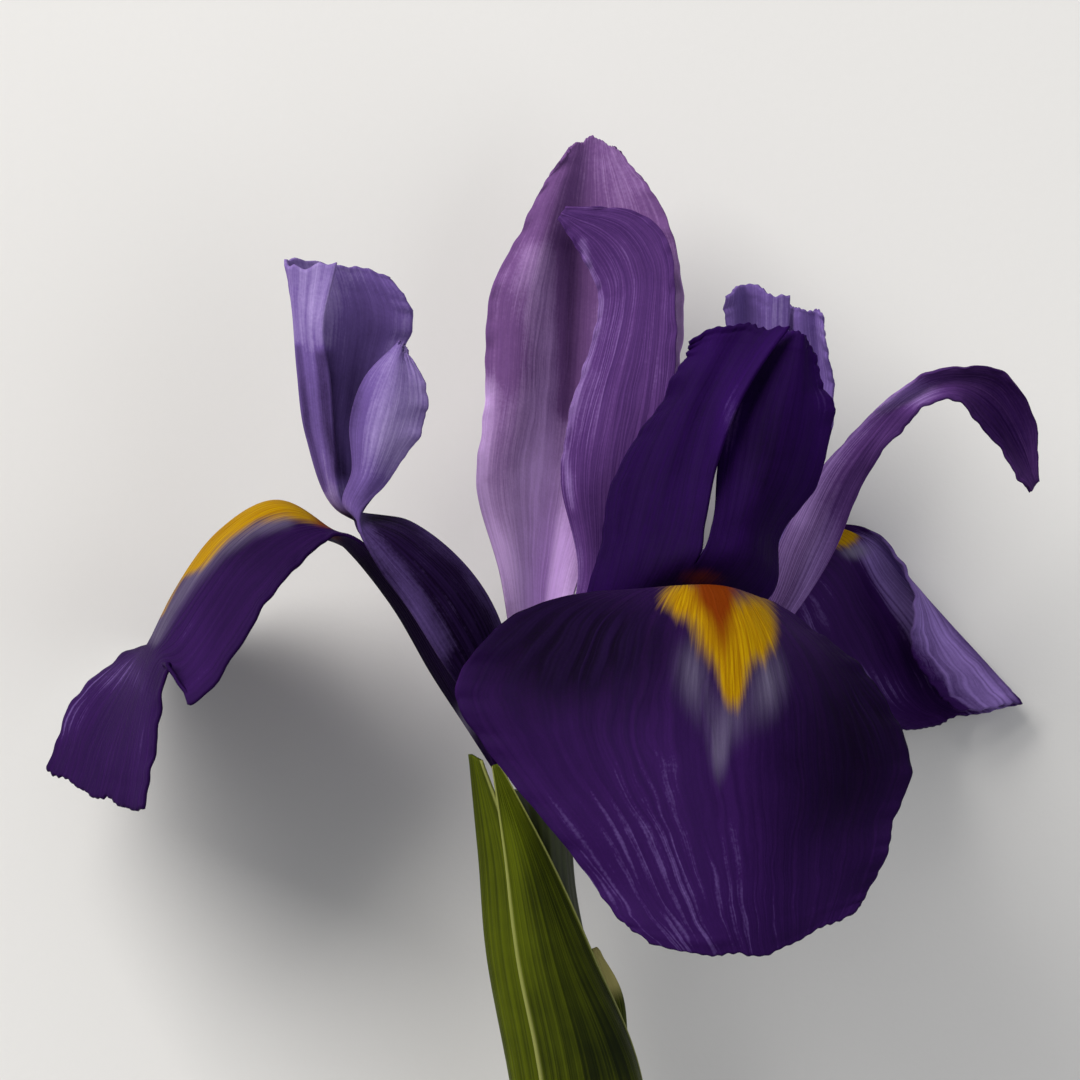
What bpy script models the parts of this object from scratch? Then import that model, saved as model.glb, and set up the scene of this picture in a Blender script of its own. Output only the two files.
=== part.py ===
"""Iris flower on a cut stem, lying on its back: nine petals and style arms, stamens, tube, spathe, stem."""

import math

import bmesh
import bpy
import numpy as np
from mathutils import Matrix, Vector

MM = 0.001                      # every size below is in millimetres

# How the flower lies: its own frame has X to the right, Y up the flower and Z out of its face.
LIE_BACK_DEG = 9.1              # turn about X, face up and stem end down to the surface
LIE_ROLL_DEG = -3.6             # turn about Y after that, so that both side petals touch the surface

SHEET_THICKNESS = 0.7           # petals
LEAF_THICKNESS = 0.6            # spathe valves
STEM_RADIUS = 4.0
STEM_PATH = ((5.0, -46.0, 0.0), (6.6, -62.0, 0.0), (9.0, -88.0, 0.0), (11.0, -120.0, 0.0),
             (12.0, -150.0, 0.0))
TUBE_PATH = ((4.8, -45.7, 0.0), (3.9, -36.0, 0.0), (2.4, -24.0, 0.0), (0.8, -12.0, 0.0), (0.0, -4.0, 0.0),
             (0.0, 0.0, 0.0))
TUBE_RADII = (3.6, 4.1, 3.7, 3.0, 3.6, 5.3)
FILAMENT_RADIUS = 0.4
ANTHER_RADIUS = 0.85
ANTHER_LENGTH = 8.0

# Each petal hangs on guide rails, spline curves that run from its claw to its tip.  The rails are
# listed from one margin to the other, and the sheet is stretched smoothly across them.
FALL_FRONT = (
    ((0.2, 0.5, 5.0), (4.0, 9.0, 12.0), (9.0, 18.0, 19.5), (8.0, 23.7, 26.5), (-3.6, 21.2, 30.0),
     (-10.4, 13.4, 32.0), (-6.8, 5.6, 34.0), (1.4, -4.4, 38.0), (7.2, -12.4, 41.5), (12.4, -17.0, 44.0)),
    ((2.0, 0.5, 4.4), (7.0, 8.5, 10.5), (13.0, 17.5, 17.5), (19.0, 24.5, 26.0), (21.0, 20.5, 33.0),
     (21.5, 12.0, 38.0), (21.5, 3.0, 42.0), (22.5, -5.0, 44.5), (23.5, -12.0, 45.5), (24.5, -18.0, 45.0)),
    ((3.8, 0.5, 3.3), (10.0, 9.0, 7.0), (16.0, 18.0, 15.0), (24.5, 23.0, 22.5), (32.0, 19.0, 22.0),
     (38.8, 12.5, 24.0), (43.2, 3.0, 27.0), (40.2, -4.4, 31.5), (38.4, -9.4, 35.0), (36.0, -13.2, 38.5)),
)
FALL_LEFT = (
    ((-4.8, 0.5, 1.6), (-8.2, 8.4, 3.6), (-12.0, 16.0, 5.0), (-16.8, 24.0, 5.6), (-23.6, 30.6, 5.6),
     (-28.8, 27.4, 11.0), (-34.6, 21.0, 15.0), (-41.6, 10.0, 16.5), (-44.8, 15.6, 12.5),
     (-46.2, 7.0, 12.0), (-47.2, -2.4, 12.0)),
    ((-4.8, 0.5, -0.4), (-9.2, 7.4, 0.0), (-13.5, 14.0, 0.0), (-18.5, 22.5, 0.0), (-25.0, 30.3, 0.0),
     (-32.0, 34.6, 0.0), (-39.0, 31.0, -1.0), (-44.5, 23.5, -2.0), (-48.5, 14.5, -2.0),
     (-52.0, 5.5, 0.0), (-53.6, -0.8, 3.0)),
    ((-4.5, 0.5, -2.4), (-8.4, 7.8, -3.4), (-12.6, 15.0, -4.4), (-17.6, 23.2, -5.4), (-24.5, 29.5, -8.0),
     (-31.0, 30.0, -14.5), (-37.0, 25.0, -22.0), (-43.5, 18.0, -27.5), (-51.0, 15.8, -23.0),
     (-57.4, 10.2, -14.0), (-60.4, 2.6, -7.0)),
)
FALL_RIGHT = (
    ((4.3, 0.5, -2.4), (10.0, 8.0, -6.5), (17.0, 15.5, -10.0), (24.5, 21.0, -12.0), (29.0, 20.0, -13.0),
     (32.5, 14.0, -14.0), (36.5, 10.0, -15.5), (40.5, 8.0, -18.0), (44.5, 7.0, -22.0)),
    ((3.6, 0.5, -3.2), (8.0, 7.8, -9.0), (15.5, 16.5, -14.0), (24.5, 25.0, -18.0), (33.0, 27.0, -20.5),
     (38.0, 20.5, -22.5), (41.0, 14.0, -24.5), (44.0, 9.5, -26.5), (48.0, 7.4, -27.5)),
    ((2.8, 0.5, -3.9), (6.6, 8.0, -10.4), (13.6, 17.3, -16.6), (24.0, 26.6, -20.8), (36.0, 31.0, -26.6),
     (41.0, 24.4, -30.2), (46.0, 17.6, -31.0), (49.0, 11.6, -31.0), (53.0, 8.6, -31.0)),
    ((2.0, 0.5, -4.5), (5.4, 8.4, -11.6), (12.0, 18.0, -18.6), (23.2, 28.0, -23.6), (37.6, 30.4, -29.4),
     (44.8, 24.8, -32.0), (51.4, 17.9, -32.5), (55.8, 13.0, -31.5), (58.8, 9.9, -30.0)),
    ((1.0, 0.5, -4.9), (4.0, 9.0, -12.0), (10.5, 18.5, -20.0), (22.8, 29.6, -24.6), (38.2, 31.8, -29.6),
     (45.2, 24.8, -27.6), (44.8, 17.2, -26.5), (47.0, 12.8, -25.5), (50.8, 9.2, -25.5)),
)
STANDARD_BACK = (
    ((-3.3, 0.5, -3.1), (-3.5, 12.0, -6.0), (-5.2, 25.0, -9.0), (-8.4, 37.0, -12.0), (-7.2, 48.0, -14.5),
     (-6.8, 59.0, -16.5), (-2.5, 69.0, -18.5), (2.2, 77.0, -19.8)),
    ((-2.8, 0.5, -3.6), (-2.6, 12.0, -7.2), (-3.2, 25.0, -10.2), (-4.4, 37.0, -12.2), (-3.0, 48.0, -14.2),
     (-2.0, 59.0, -16.2), (0.8, 69.5, -18.2), (3.6, 78.3, -20.5)),
    ((-1.9, 0.5, -4.1), (-1.2, 12.0, -9.6), (0.3, 25.0, -15.0), (2.2, 37.0, -18.5), (3.4, 48.0, -20.5),
     (4.0, 59.0, -21.5), (4.6, 70.0, -21.5), (5.4, 79.2, -21.4)),
    ((-1.0, 0.5, -4.4), (0.2, 12.0, -8.8), (2.6, 25.0, -12.5), (6.5, 37.0, -14.5), (9.5, 48.0, -16.0),
     (10.5, 59.0, -17.5), (9.5, 70.0, -19.5), (7.2, 78.7, -21.0)),
    ((-0.3, 0.5, -4.5), (1.0, 12.0, -8.4), (4.0, 25.0, -12.0), (9.5, 37.0, -13.5), (15.5, 48.0, -14.0),
     (17.0, 59.0, -15.5), (14.5, 70.0, -18.0), (8.8, 77.4, -20.3)),
)
STANDARD_LEFT = (
    ((-3.4, 0.5, 3.0), (-0.2, 12.0, 1.0), (4.0, 25.0, -2.0), (2.0, 36.5, -5.0), (2.5, 43.0, -6.5),
     (5.0, 51.5, -8.0), (6.5, 59.0, -9.5), (4.5, 64.0, -10.5), (1.6, 69.0, -11.0)),
    ((-2.4, 0.5, 3.8), (0.6, 12.0, 1.8), (6.2, 25.0, -0.5), (6.6, 37.0, -2.5), (8.0, 46.0, -4.0),
     (10.2, 55.0, -6.5), (10.8, 62.0, -9.0), (8.0, 67.0, -10.5), (2.0, 69.6, -11.3)),
    ((-1.3, 0.5, 4.3), (1.2, 12.0, 3.0), (8.8, 25.0, 1.5), (13.0, 37.0, -1.0), (15.2, 47.0, -3.0),
     (15.8, 57.0, -6.0), (15.4, 65.0, -9.0), (11.0, 69.8, -10.8), (2.5, 70.3, -11.7)),
)
STANDARD_RIGHT = (
    ((4.2, 0.5, -1.3), (10.0, 7.0, -0.6), (18.0, 14.0, -0.4), (25.5, 21.5, -1.0), (28.5, 30.0, -1.5),
     (33.0, 38.2, -1.5), (38.0, 44.0, -0.5), (44.0, 49.0, 0.0), (50.0, 50.7, 0.0), (55.5, 50.0, 0.0),
     (58.8, 44.0, 0.0), (59.0, 37.0, 0.0)),
    ((4.6, 0.5, 0.4), (12.0, 6.4, 1.6), (20.5, 12.8, 2.6), (28.0, 21.0, 2.8), (31.8, 29.0, 2.4),
     (35.6, 37.3, 1.8), (39.8, 43.0, 0.2), (44.2, 47.2, -1.5), (49.5, 48.8, -1.5), (54.1, 46.8, -1.5),
     (57.4, 41.2, -1.0), (58.7, 36.5, 0.5)),
    ((4.3, 0.5, 1.9), (13.0, 6.0, 2.5), (22.0, 12.0, 3.0), (29.5, 20.8, 2.4), (34.5, 28.5, 1.0),
     (37.8, 36.3, 0.5), (41.2, 41.6, 1.6), (44.5, 45.3, 2.5), (49.0, 46.8, 2.5), (52.7, 43.5, 2.5),
     (56.0, 38.5, 2.5), (58.4, 35.9, 1.5)),
)
# Each style arm ends in two crests: two panels that share their inner rail as far as the lip.
STYLE_FRONT = (
    (((0.1, 0.5, 2.5), (2.2, 9.5, 8.2), (4.0, 18.0, 12.5), (5.0, 23.5, 15.0), (6.6, 29.5, 14.0),
      (8.2, 37.0, 12.0), (12.0, 43.5, 11.0), (16.5, 51.0, 12.0), (17.6, 54.2, 12.5)),
     ((0.4, 0.5, 2.35), (2.9, 9.6, 7.7), (6.2, 18.4, 12.9), (9.6, 24.8, 18.6), (11.2, 30.8, 18.4),
      (13.2, 38.0, 16.5), (16.0, 45.0, 15.2), (19.4, 51.2, 14.6), (21.4, 55.2, 14.4)),
     ((0.65, 0.5, 2.2), (3.6, 9.6, 7.2), (8.1, 18.6, 13.1), (13.6, 26.2, 21.2), (15.8, 31.6, 20.0),
      (17.2, 38.3, 17.6), (19.2, 45.2, 15.8), (22.4, 51.3, 14.8), (25.2, 55.6, 14.6)),
     ((0.9, 0.5, 2.0), (4.2, 9.6, 6.6), (9.8, 18.6, 13.0), (17.5, 27.0, 22.5), (18.8, 32.0, 21.8),
      (20.1, 38.5, 20.0), (22.5, 45.5, 18.8), (25.8, 51.2, 17.8), (28.8, 55.2, 17.2))),
    (((0.9, 0.5, 2.0), (4.2, 9.6, 6.6), (9.8, 18.6, 13.0), (17.5, 27.0, 22.5), (19.7, 32.0, 21.0),
      (20.4, 38.5, 17.0), (21.4, 45.5, 14.6), (24.2, 51.0, 13.8), (27.2, 54.8, 13.6)),
     ((1.4, 0.5, 1.8), (6.0, 9.5, 5.8), (12.8, 18.2, 12.0), (22.5, 26.5, 21.5), (24.5, 32.0, 20.0),
      (27.0, 38.5, 18.2), (28.6, 45.0, 17.2), (29.8, 50.5, 16.6), (30.4, 54.6, 16.2)),
     ((1.9, 0.5, 1.5), (7.5, 9.5, 5.0), (15.5, 17.5, 11.0), (26.4, 23.2, 17.5), (27.8, 30.5, 16.0),
      (32.3, 37.0, 14.4), (34.2, 44.5, 14.0), (32.4, 49.6, 14.5), (31.4, 53.4, 15.2))),
)
STYLE_LEFT = (
    (((-2.4, 0.5, -1.5), (-6.5, 8.5, -4.0), (-11.0, 15.5, -5.5), (-15.0, 22.0, -6.5),
      (-19.5, 27.8, -6.5), (-22.8, 32.4, -5.0), (-21.5, 41.0, -7.0), (-18.5, 49.0, -8.0),
      (-15.8, 56.4, -7.5), (-19.0, 62.2, -6.0)),
     ((-2.35, 0.5, -1.05), (-5.4, 9.0, -2.6), (-8.4, 17.4, -3.8), (-12.4, 24.8, -4.4),
      (-17.8, 30.4, -4.4), (-23.2, 33.0, -3.6), (-24.4, 41.6, -5.5), (-23.4, 49.6, -6.5),
      (-22.4, 57.0, -6.4), (-23.8, 62.8, -5.0)),
     ((-2.3, 0.5, -0.6), (-4.4, 9.6, -1.3), (-6.2, 18.6, -2.0), (-10.2, 26.2, -2.3),
      (-16.8, 31.7, -2.3), (-25.0, 33.8, -1.6), (-28.5, 42.4, -0.4), (-29.5, 50.4, 0.6),
      (-29.9, 57.5, 1.2), (-30.9, 63.8, 2.0)),
     ((-2.2, 0.5, -0.2), (-3.8, 10.0, 0.0), (-5.2, 19.3, 0.0), (-9.4, 26.6, 0.0),
      (-16.2, 32.1, 0.0), (-23.8, 33.8, 0.4), (-25.2, 41.5, 3.2), (-25.8, 49.0, 4.4),
      (-26.6, 55.5, 5.0), (-25.0, 63.0, 4.6))),
    (((-2.2, 0.5, -0.2), (-3.8, 10.0, 0.0), (-5.2, 19.3, 0.0), (-9.4, 26.6, 0.0),
      (-16.2, 32.1, 0.0), (-23.8, 33.8, 0.4), (-23.0, 38.6, 3.0), (-23.3, 44.2, 4.2),
      (-21.6, 49.4, 4.6), (-17.8, 53.5, 3.8)),
     ((-2.3, 0.5, 0.5), (-4.8, 9.2, 2.2), (-7.4, 17.2, 4.2), (-11.6, 24.2, 5.2),
      (-17.4, 29.8, 5.0), (-22.8, 33.0, 3.2), (-20.8, 38.0, 4.8), (-19.2, 43.4, 5.8),
      (-18.0, 47.9, 5.6), (-17.1, 53.3, 3.9)),
     ((-2.4, 0.5, 1.2), (-7.0, 7.8, 4.6), (-12.0, 15.1, 7.2), (-16.2, 21.8, 8.4),
      (-20.2, 27.4, 8.0), (-22.2, 32.6, 4.8), (-18.6, 37.2, 3.6), (-15.2, 42.6, 3.2),
      (-14.2, 47.0, 3.2), (-16.5, 52.9, 3.6))),
)
STYLE_RIGHT = (
    (((0.3, 0.5, -2.5), (3.2, 9.5, -6.5), (8.5, 19.0, -11.0), (15.5, 27.0, -15.5), (25.5, 31.0, -19.0),
      (23.6, 39.0, -17.0), (22.6, 47.0, -15.5), (22.0, 54.5, -14.5), (21.4, 60.0, -14.0)),
     ((0.8, 0.5, -2.2), (4.2, 9.5, -6.0), (10.0, 19.0, -10.0), (17.2, 27.6, -14.4), (27.0, 31.4, -18.6),
      (26.0, 39.5, -17.8), (25.4, 47.5, -16.8), (25.4, 55.0, -16.2), (25.2, 61.0, -15.6)),
     ((1.3, 0.5, -1.8), (5.2, 9.4, -5.2), (11.5, 18.6, -9.0), (19.2, 27.2, -13.0), (28.6, 31.4, -18.0),
      (28.2, 39.5, -17.2), (28.8, 47.5, -15.8), (29.4, 54.5, -15.0), (29.6, 59.6, -14.6))),
    (((1.3, 0.5, -1.8), (5.2, 9.4, -5.2), (11.5, 18.6, -9.0), (19.2, 27.2, -13.0), (28.6, 31.4, -18.0),
      (29.1, 39.5, -18.6), (28.4, 47.5, -18.0), (28.4, 54.0, -17.2), (28.8, 58.4, -16.6)),
     ((1.8, 0.5, -1.5), (6.2, 9.2, -4.4), (12.8, 18.0, -7.8), (21.0, 26.2, -11.8), (30.0, 30.6, -17.0),
      (31.4, 39.0, -17.6), (31.8, 46.5, -17.0), (31.8, 53.0, -16.2), (31.4, 58.2, -15.6)),
     ((2.3, 0.5, -1.1), (7.2, 9.0, -3.6), (14.0, 17.4, -6.8), (22.4, 25.0, -10.8), (31.0, 29.6, -16.0),
      (33.6, 38.4, -16.0), (35.3, 45.4, -15.4), (34.6, 52.0, -15.0), (33.7, 57.4, -15.0))),
)
SPATHE_OUTER = (
    ((4.6, -92.0, 3.0), (2.6, -75.0, 4.6), (1.0, -55.0, 5.4), (-0.6, -35.0, 5.2), (-3.4, -20.0, 4.8),
     (-4.8, -8.0, 4.6), (-6.2, 3.0, 4.7)),
    ((9.3, -92.0, 5.7), (7.8, -75.0, 6.4), (6.2, -55.0, 6.9), (4.2, -35.0, 6.9), (0.6, -20.0, 6.3),
     (-2.3, -8.0, 5.6), (-5.9, 3.2, 4.9)),
    ((15.0, -92.0, 0.4), (13.6, -75.0, 1.5), (12.7, -55.0, 2.6), (10.4, -35.0, 4.2), (4.0, -20.0, 5.2),
     (-0.6, -8.2, 5.4), (-5.6, 3.2, 5.0)),
    ((10.6, -92.0, -5.6), (11.6, -75.0, -4.6), (12.8, -55.0, -2.4), (11.6, -35.0, 0.0), (5.9, -20.0, 3.6),
     (0.7, -8.4, 5.0), (-5.4, 3.1, 5.1)),
)
SPATHE_INNER = (
    ((6.0, -88.0, 3.8), (5.0, -75.0, 4.0), (3.0, -55.0, 4.7), (1.0, -35.0, 4.6), (-1.8, -20.0, 3.9),
     (-3.4, -8.0, 2.9), (-7.6, 3.6, 1.6)),
    ((4.1, -88.0, 0.0), (2.2, -75.0, 0.0), (-0.6, -55.0, 0.0), (-4.0, -35.0, 0.0), (-6.8, -20.0, 0.0),
     (-7.8, -8.0, 0.0), (-8.9, 4.3, 0.2)),
    ((6.9, -88.0, -4.6), (6.0, -75.0, -5.0), (4.5, -55.0, -5.6), (1.8, -35.0, -5.8), (-2.6, -20.0, -5.0),
     (-5.4, -8.0, -3.8), (-8.9, 4.0, -1.0)),
    ((10.6, -88.0, -4.5), (11.0, -75.0, -3.8), (7.6, -55.0, -5.2), (7.0, -35.0, -5.0), (2.0, -20.0, -5.6),
     (-3.4, -8.0, -4.6), (-8.6, 3.5, -1.5)),
)
SPATHE_TIP = (
    ((8.8, -58.0, 4.2), (8.2, -46.0, 4.4), (7.6, -34.0, 3.4), (6.8, -25.0, 1.2), (5.7, -19.0, 0.4)),
    ((11.4, -58.0, 0.0), (10.7, -46.0, 0.2), (9.9, -34.0, 0.0), (9.2, -25.0, -0.6), (6.1, -18.9, -0.1)),
    ((9.2, -58.0, -3.9), (8.6, -46.0, -4.2), (8.6, -34.0, -3.4), (8.6, -25.0, -2.4), (6.5, -19.3, -0.7)),
)
STAMENS = {
    "stamen_front": ((1.4, 0.7, 3.0), (5.6, 8.7, 8.7), (10.7, 16.4, 14.7)),
    "stamen_left": ((-3.3, 0.7, -0.3), (-7.3, 8.2, 0.0), (-11.6, 15.6, 0.0)),
    "stamen_right": ((1.9, 0.7, -2.7), (6.9, 8.4, -7.7), (13.0, 16.8, -12.6)),
}

# Rows and columns of each sheet, and the waves in its margins: height in mm, waves along the margin.
FALL_GRID = (26, 12)
STANDARD_GRID = (26, 10)
STYLE_GRID = (24, 4)
SPATHE_GRID = (20, 8)


def clear_scene():
    """Remove everything that was in the file."""
    for old in list(bpy.data.objects):
        bpy.data.objects.remove(old, do_unlink=True)


def collection(name):
    """Make a collection linked to the scene."""
    made = bpy.data.collections.new(name)
    bpy.context.scene.collection.children.link(made)
    return made


def material(name, colour, roughness):
    """Make a Principled material."""
    made = bpy.data.materials.new(name)
    made.use_nodes = True
    shader = made.node_tree.nodes["Principled BSDF"]
    shader.inputs["Base Color"].default_value = (*colour, 1.0)
    shader.inputs["Roughness"].default_value = roughness
    shader.inputs["Metallic"].default_value = 0.0
    made.diffuse_color = (*colour, 1.0)
    return made


def along(points, where):
    """Points on a Catmull-Rom spline through evenly spaced stations, where runs from 0 to 1."""
    knots = np.array(points, dtype=float)
    count = len(knots)
    padded = np.vstack([2 * knots[0] - knots[1], knots, 2 * knots[-1] - knots[-2]])
    place = np.clip(where, 0.0, 1.0) * (count - 1)
    first = np.minimum(place.astype(int), count - 2)
    step = (place - first)[:, None]
    before = padded[first]
    start = padded[first + 1]
    end = padded[first + 2]
    after = padded[first + 3]
    linear = (end - before) * step
    square = (2 * before - 5 * start + 4 * end - after) * step ** 2
    cube = (3 * start - before - 3 * end + after) * step ** 3
    return 0.5 * (2 * start + linear + square + cube)


def stretched(rails, rows, columns):
    """A net of points stretched over the rails, rows along them and columns across."""
    curves = [along(rail, np.linspace(0.0, 1.0, rows + 1)) for rail in rails]
    net = []
    for row in range(rows + 1):
        across = [curve[row] for curve in curves]
        net.append(along(across, np.linspace(0.0, 1.0, columns + 1)))
    return np.array(net)


def ruffled(net, height, waves, phase):
    """The net with its two margins waved up and down, more towards the tip."""
    rows = net.shape[0]
    columns = net.shape[1]
    down = np.gradient(net, axis=0)
    over = np.gradient(net, axis=1)
    normal = np.cross(down, over)
    normal /= np.maximum(np.linalg.norm(normal, axis=2, keepdims=True), 1e-9)
    length = np.linspace(0.0, 1.0, rows)[:, None]
    side = np.linspace(-1.0, 1.0, columns)[None, :]
    edge = np.clip((np.abs(side) - 0.3) / 0.7, 0.0, 1.0) ** 2
    rise = np.clip((length - 0.4) / 0.3, 0.0, 1.0)
    wave = np.sin(2.0 * math.pi * waves * length + phase + 1.9 * side)
    return net + normal * (height * edge * rise * wave)[:, :, None]


def add_panel(mesh, net):
    """Put one grid in the mesh, shaped by the net."""
    rows = net.shape[0] - 1
    columns = net.shape[1] - 1
    made = bmesh.ops.create_grid(mesh, x_segments=rows, y_segments=columns, size=1.0)
    for vert in made["verts"]:
        row = round((vert.co.x + 1.0) / 2.0 * rows)
        column = round((vert.co.y + 1.0) / 2.0 * columns)
        vert.co = Vector(net[row][column]) * MM


def finished(mesh, name, finish, home):
    """Turn the mesh into a named object in its collection."""
    data = bpy.data.meshes.new(name)
    mesh.to_mesh(data)
    mesh.free()
    data.materials.append(finish)
    made = bpy.data.objects.new(name, data)
    home.objects.link(made)
    return made


def sheet(name, panels, grid, finish, home, thickness=SHEET_THICKNESS, ruffle=(0.0, 0.0, 0.0), split=0.0):
    """One petal or leaf: its panels welded as far along as split, and given a thickness."""
    mesh = bmesh.new()
    nets = [ruffled(stretched(rails, *grid), *ruffle) for rails in panels]
    for left, right in zip(nets, nets[1:]):
        joined = round(split * grid[0]) + 1
        right[:joined, 0] = left[:joined, -1]
    for net in nets:
        add_panel(mesh, net)
    bmesh.ops.remove_doubles(mesh, verts=mesh.verts, dist=0.00002)
    bmesh.ops.recalc_face_normals(mesh, faces=mesh.faces)
    made = finished(mesh, name, finish, home)
    solid = made.modifiers.new("thickness", "SOLIDIFY")
    solid.thickness = thickness * MM
    solid.offset = 0.0
    solid.use_even_offset = False
    return made


def rod(name, path, radii, finish, home, rings, sides=24):
    """A round stalk along a path of points, one radius for each point."""
    mesh = bmesh.new()
    where = np.linspace(0.0, 1.0, rings)
    centres = along(path, where)
    widths = along([(radius, 0.0, 0.0) for radius in radii], where)[:, 0]
    ring_before = None
    for index, centre in enumerate(centres):
        ahead = centres[min(index + 1, rings - 1)] - centres[max(index - 1, 0)]
        turn = Vector((0.0, 0.0, 1.0)).rotation_difference(Vector(ahead)).to_matrix().to_4x4()
        place = Matrix.Translation(Vector(centre) * MM) @ turn
        circle = bmesh.ops.create_circle(mesh, segments=sides, radius=widths[index] * MM, matrix=place)
        ring = circle["verts"]
        if ring_before:
            for side in range(sides):
                after = (side + 1) % sides
                mesh.faces.new((ring_before[side], ring_before[after], ring[after], ring[side]))
        else:
            mesh.faces.new(list(reversed(ring)))
        ring_before = ring
    mesh.faces.new(ring_before)
    bmesh.ops.recalc_face_normals(mesh, faces=mesh.faces)
    return finished(mesh, name, finish, home)


def stamen(name, points, finish, home):
    """A thin filament that ends in a long anther."""
    start = Vector(points[-1]) - Vector(points[-2])
    tip = Vector(points[-1]) + start.normalized() * ANTHER_LENGTH
    path = []
    radii = []
    for point in along(points, np.linspace(0.0, 1.0, 6)):
        path.append(tuple(point))
        radii.append(FILAMENT_RADIUS)
    for share, radius in ((0.12, 0.7), (0.3, 1.0), (0.6, 1.0), (0.85, 0.8), (1.0, 0.3)):
        path.append(tuple(Vector(points[-1]).lerp(tip, share)))
        radii.append(ANTHER_RADIUS * radius)
    return rod(name, path, radii, finish, home, rings=16, sides=10)


def lowest_and_middle(parts):
    """The lowest point of the parts and the middle of their outline seen from above."""
    graph = bpy.context.evaluated_depsgraph_get()
    points = []
    for part in parts:
        shaped = part.evaluated_get(graph)
        data = shaped.to_mesh()
        points.extend(shaped.matrix_world @ vert.co for vert in data.vertices)
        shaped.to_mesh_clear()
    across = [point.x for point in points]
    along_flower = [point.y for point in points]
    middle = ((min(across) + max(across)) / 2.0, (min(along_flower) + max(along_flower)) / 2.0)
    return middle[0], middle[1], min(point.z for point in points)


def lay_down(parts, guides):
    """Turn the flower on its back and set it on the surface, its middle over the origin."""
    lie = bpy.data.objects.new("lie", None)
    lie.hide_render = True
    guides.objects.link(lie)
    lie.rotation_euler = (math.radians(LIE_BACK_DEG), math.radians(LIE_ROLL_DEG), 0.0)
    for part in parts:
        part.parent = lie
    bpy.context.view_layer.update()
    x_middle, y_middle, lowest = lowest_and_middle(parts)
    lie.location = (-x_middle, -y_middle, -lowest)
    bpy.context.view_layer.update()


def build():
    """Model the whole flower."""
    clear_scene()
    home = collection("iris_flower")
    guides = collection("guides")
    guides.hide_render = True
    fall_violet = material("fall_violet", (0.10, 0.02, 0.22), 0.55)
    standard_pale = material("standard_pale", (0.46, 0.30, 0.58), 0.6)
    standard_mid = material("standard_mid", (0.24, 0.11, 0.40), 0.6)
    style_dark = material("style_dark", (0.09, 0.02, 0.26), 0.55)
    style_lilac = material("style_lilac", (0.36, 0.27, 0.66), 0.6)
    spathe_green = material("spathe_green", (0.22, 0.26, 0.03), 0.5)
    stem_green = material("stem_green", (0.14, 0.22, 0.04), 0.45)
    tube_green = material("tube_green", (0.30, 0.34, 0.12), 0.5)
    stamen_cream = material("stamen_cream", (0.60, 0.52, 0.30), 0.7)

    parts = [
        rod("stem", STEM_PATH, [STEM_RADIUS] * len(STEM_PATH), stem_green, home, rings=9),
        rod("tube", TUBE_PATH, TUBE_RADII, tube_green, home, rings=14),
        sheet("spathe_outer", [SPATHE_OUTER], SPATHE_GRID, spathe_green, home, LEAF_THICKNESS),
        sheet("spathe_inner", [SPATHE_INNER], SPATHE_GRID, spathe_green, home, LEAF_THICKNESS),
        sheet("spathe_tip", [SPATHE_TIP], (10, 6), spathe_green, home, LEAF_THICKNESS),
        sheet("fall_front", [FALL_FRONT], FALL_GRID, fall_violet, home, ruffle=(0.8, 3.5, 0.4)),
        sheet("fall_left", [FALL_LEFT], FALL_GRID, fall_violet, home, ruffle=(0.7, 4.0, 1.2)),
        sheet("fall_right", [FALL_RIGHT], FALL_GRID, fall_violet, home, ruffle=(0.5, 3.0, 0.2)),
        sheet("standard_back", [STANDARD_BACK], STANDARD_GRID, standard_pale, home, ruffle=(0.6, 4.0, 0.8)),
        sheet("standard_left", [STANDARD_LEFT], STANDARD_GRID, standard_mid, home, ruffle=(0.4, 3.0, 2.0)),
        sheet("standard_right", [STANDARD_RIGHT], STANDARD_GRID, standard_mid, home, ruffle=(0.3, 5.0, 0.0)),
        sheet("style_front", STYLE_FRONT, STYLE_GRID, style_dark, home, split=3 / 8),
        sheet("style_left", STYLE_LEFT, STYLE_GRID, style_lilac, home, split=5 / 9),
        sheet("style_right", STYLE_RIGHT, STYLE_GRID, style_lilac, home, split=4 / 8),
    ]
    for name, points in STAMENS.items():
        parts.append(stamen(name, points, stamen_cream, home))
    lay_down(parts, guides)


build()
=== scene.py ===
"""The look of a cut iris flower that lies on its back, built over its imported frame.

The flower has a frame of its own: X to the right, Y up the flower and Z out of its face, in
millimetres from the heart, where the petals join.  Every sheet is shaped in that frame and then
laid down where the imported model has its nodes.
"""

import logging
import math
from collections.abc import Callable
from dataclasses import dataclass, field
from enum import Enum

import bmesh
import bpy
import numpy as np
from mathutils import Matrix, Vector


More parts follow.
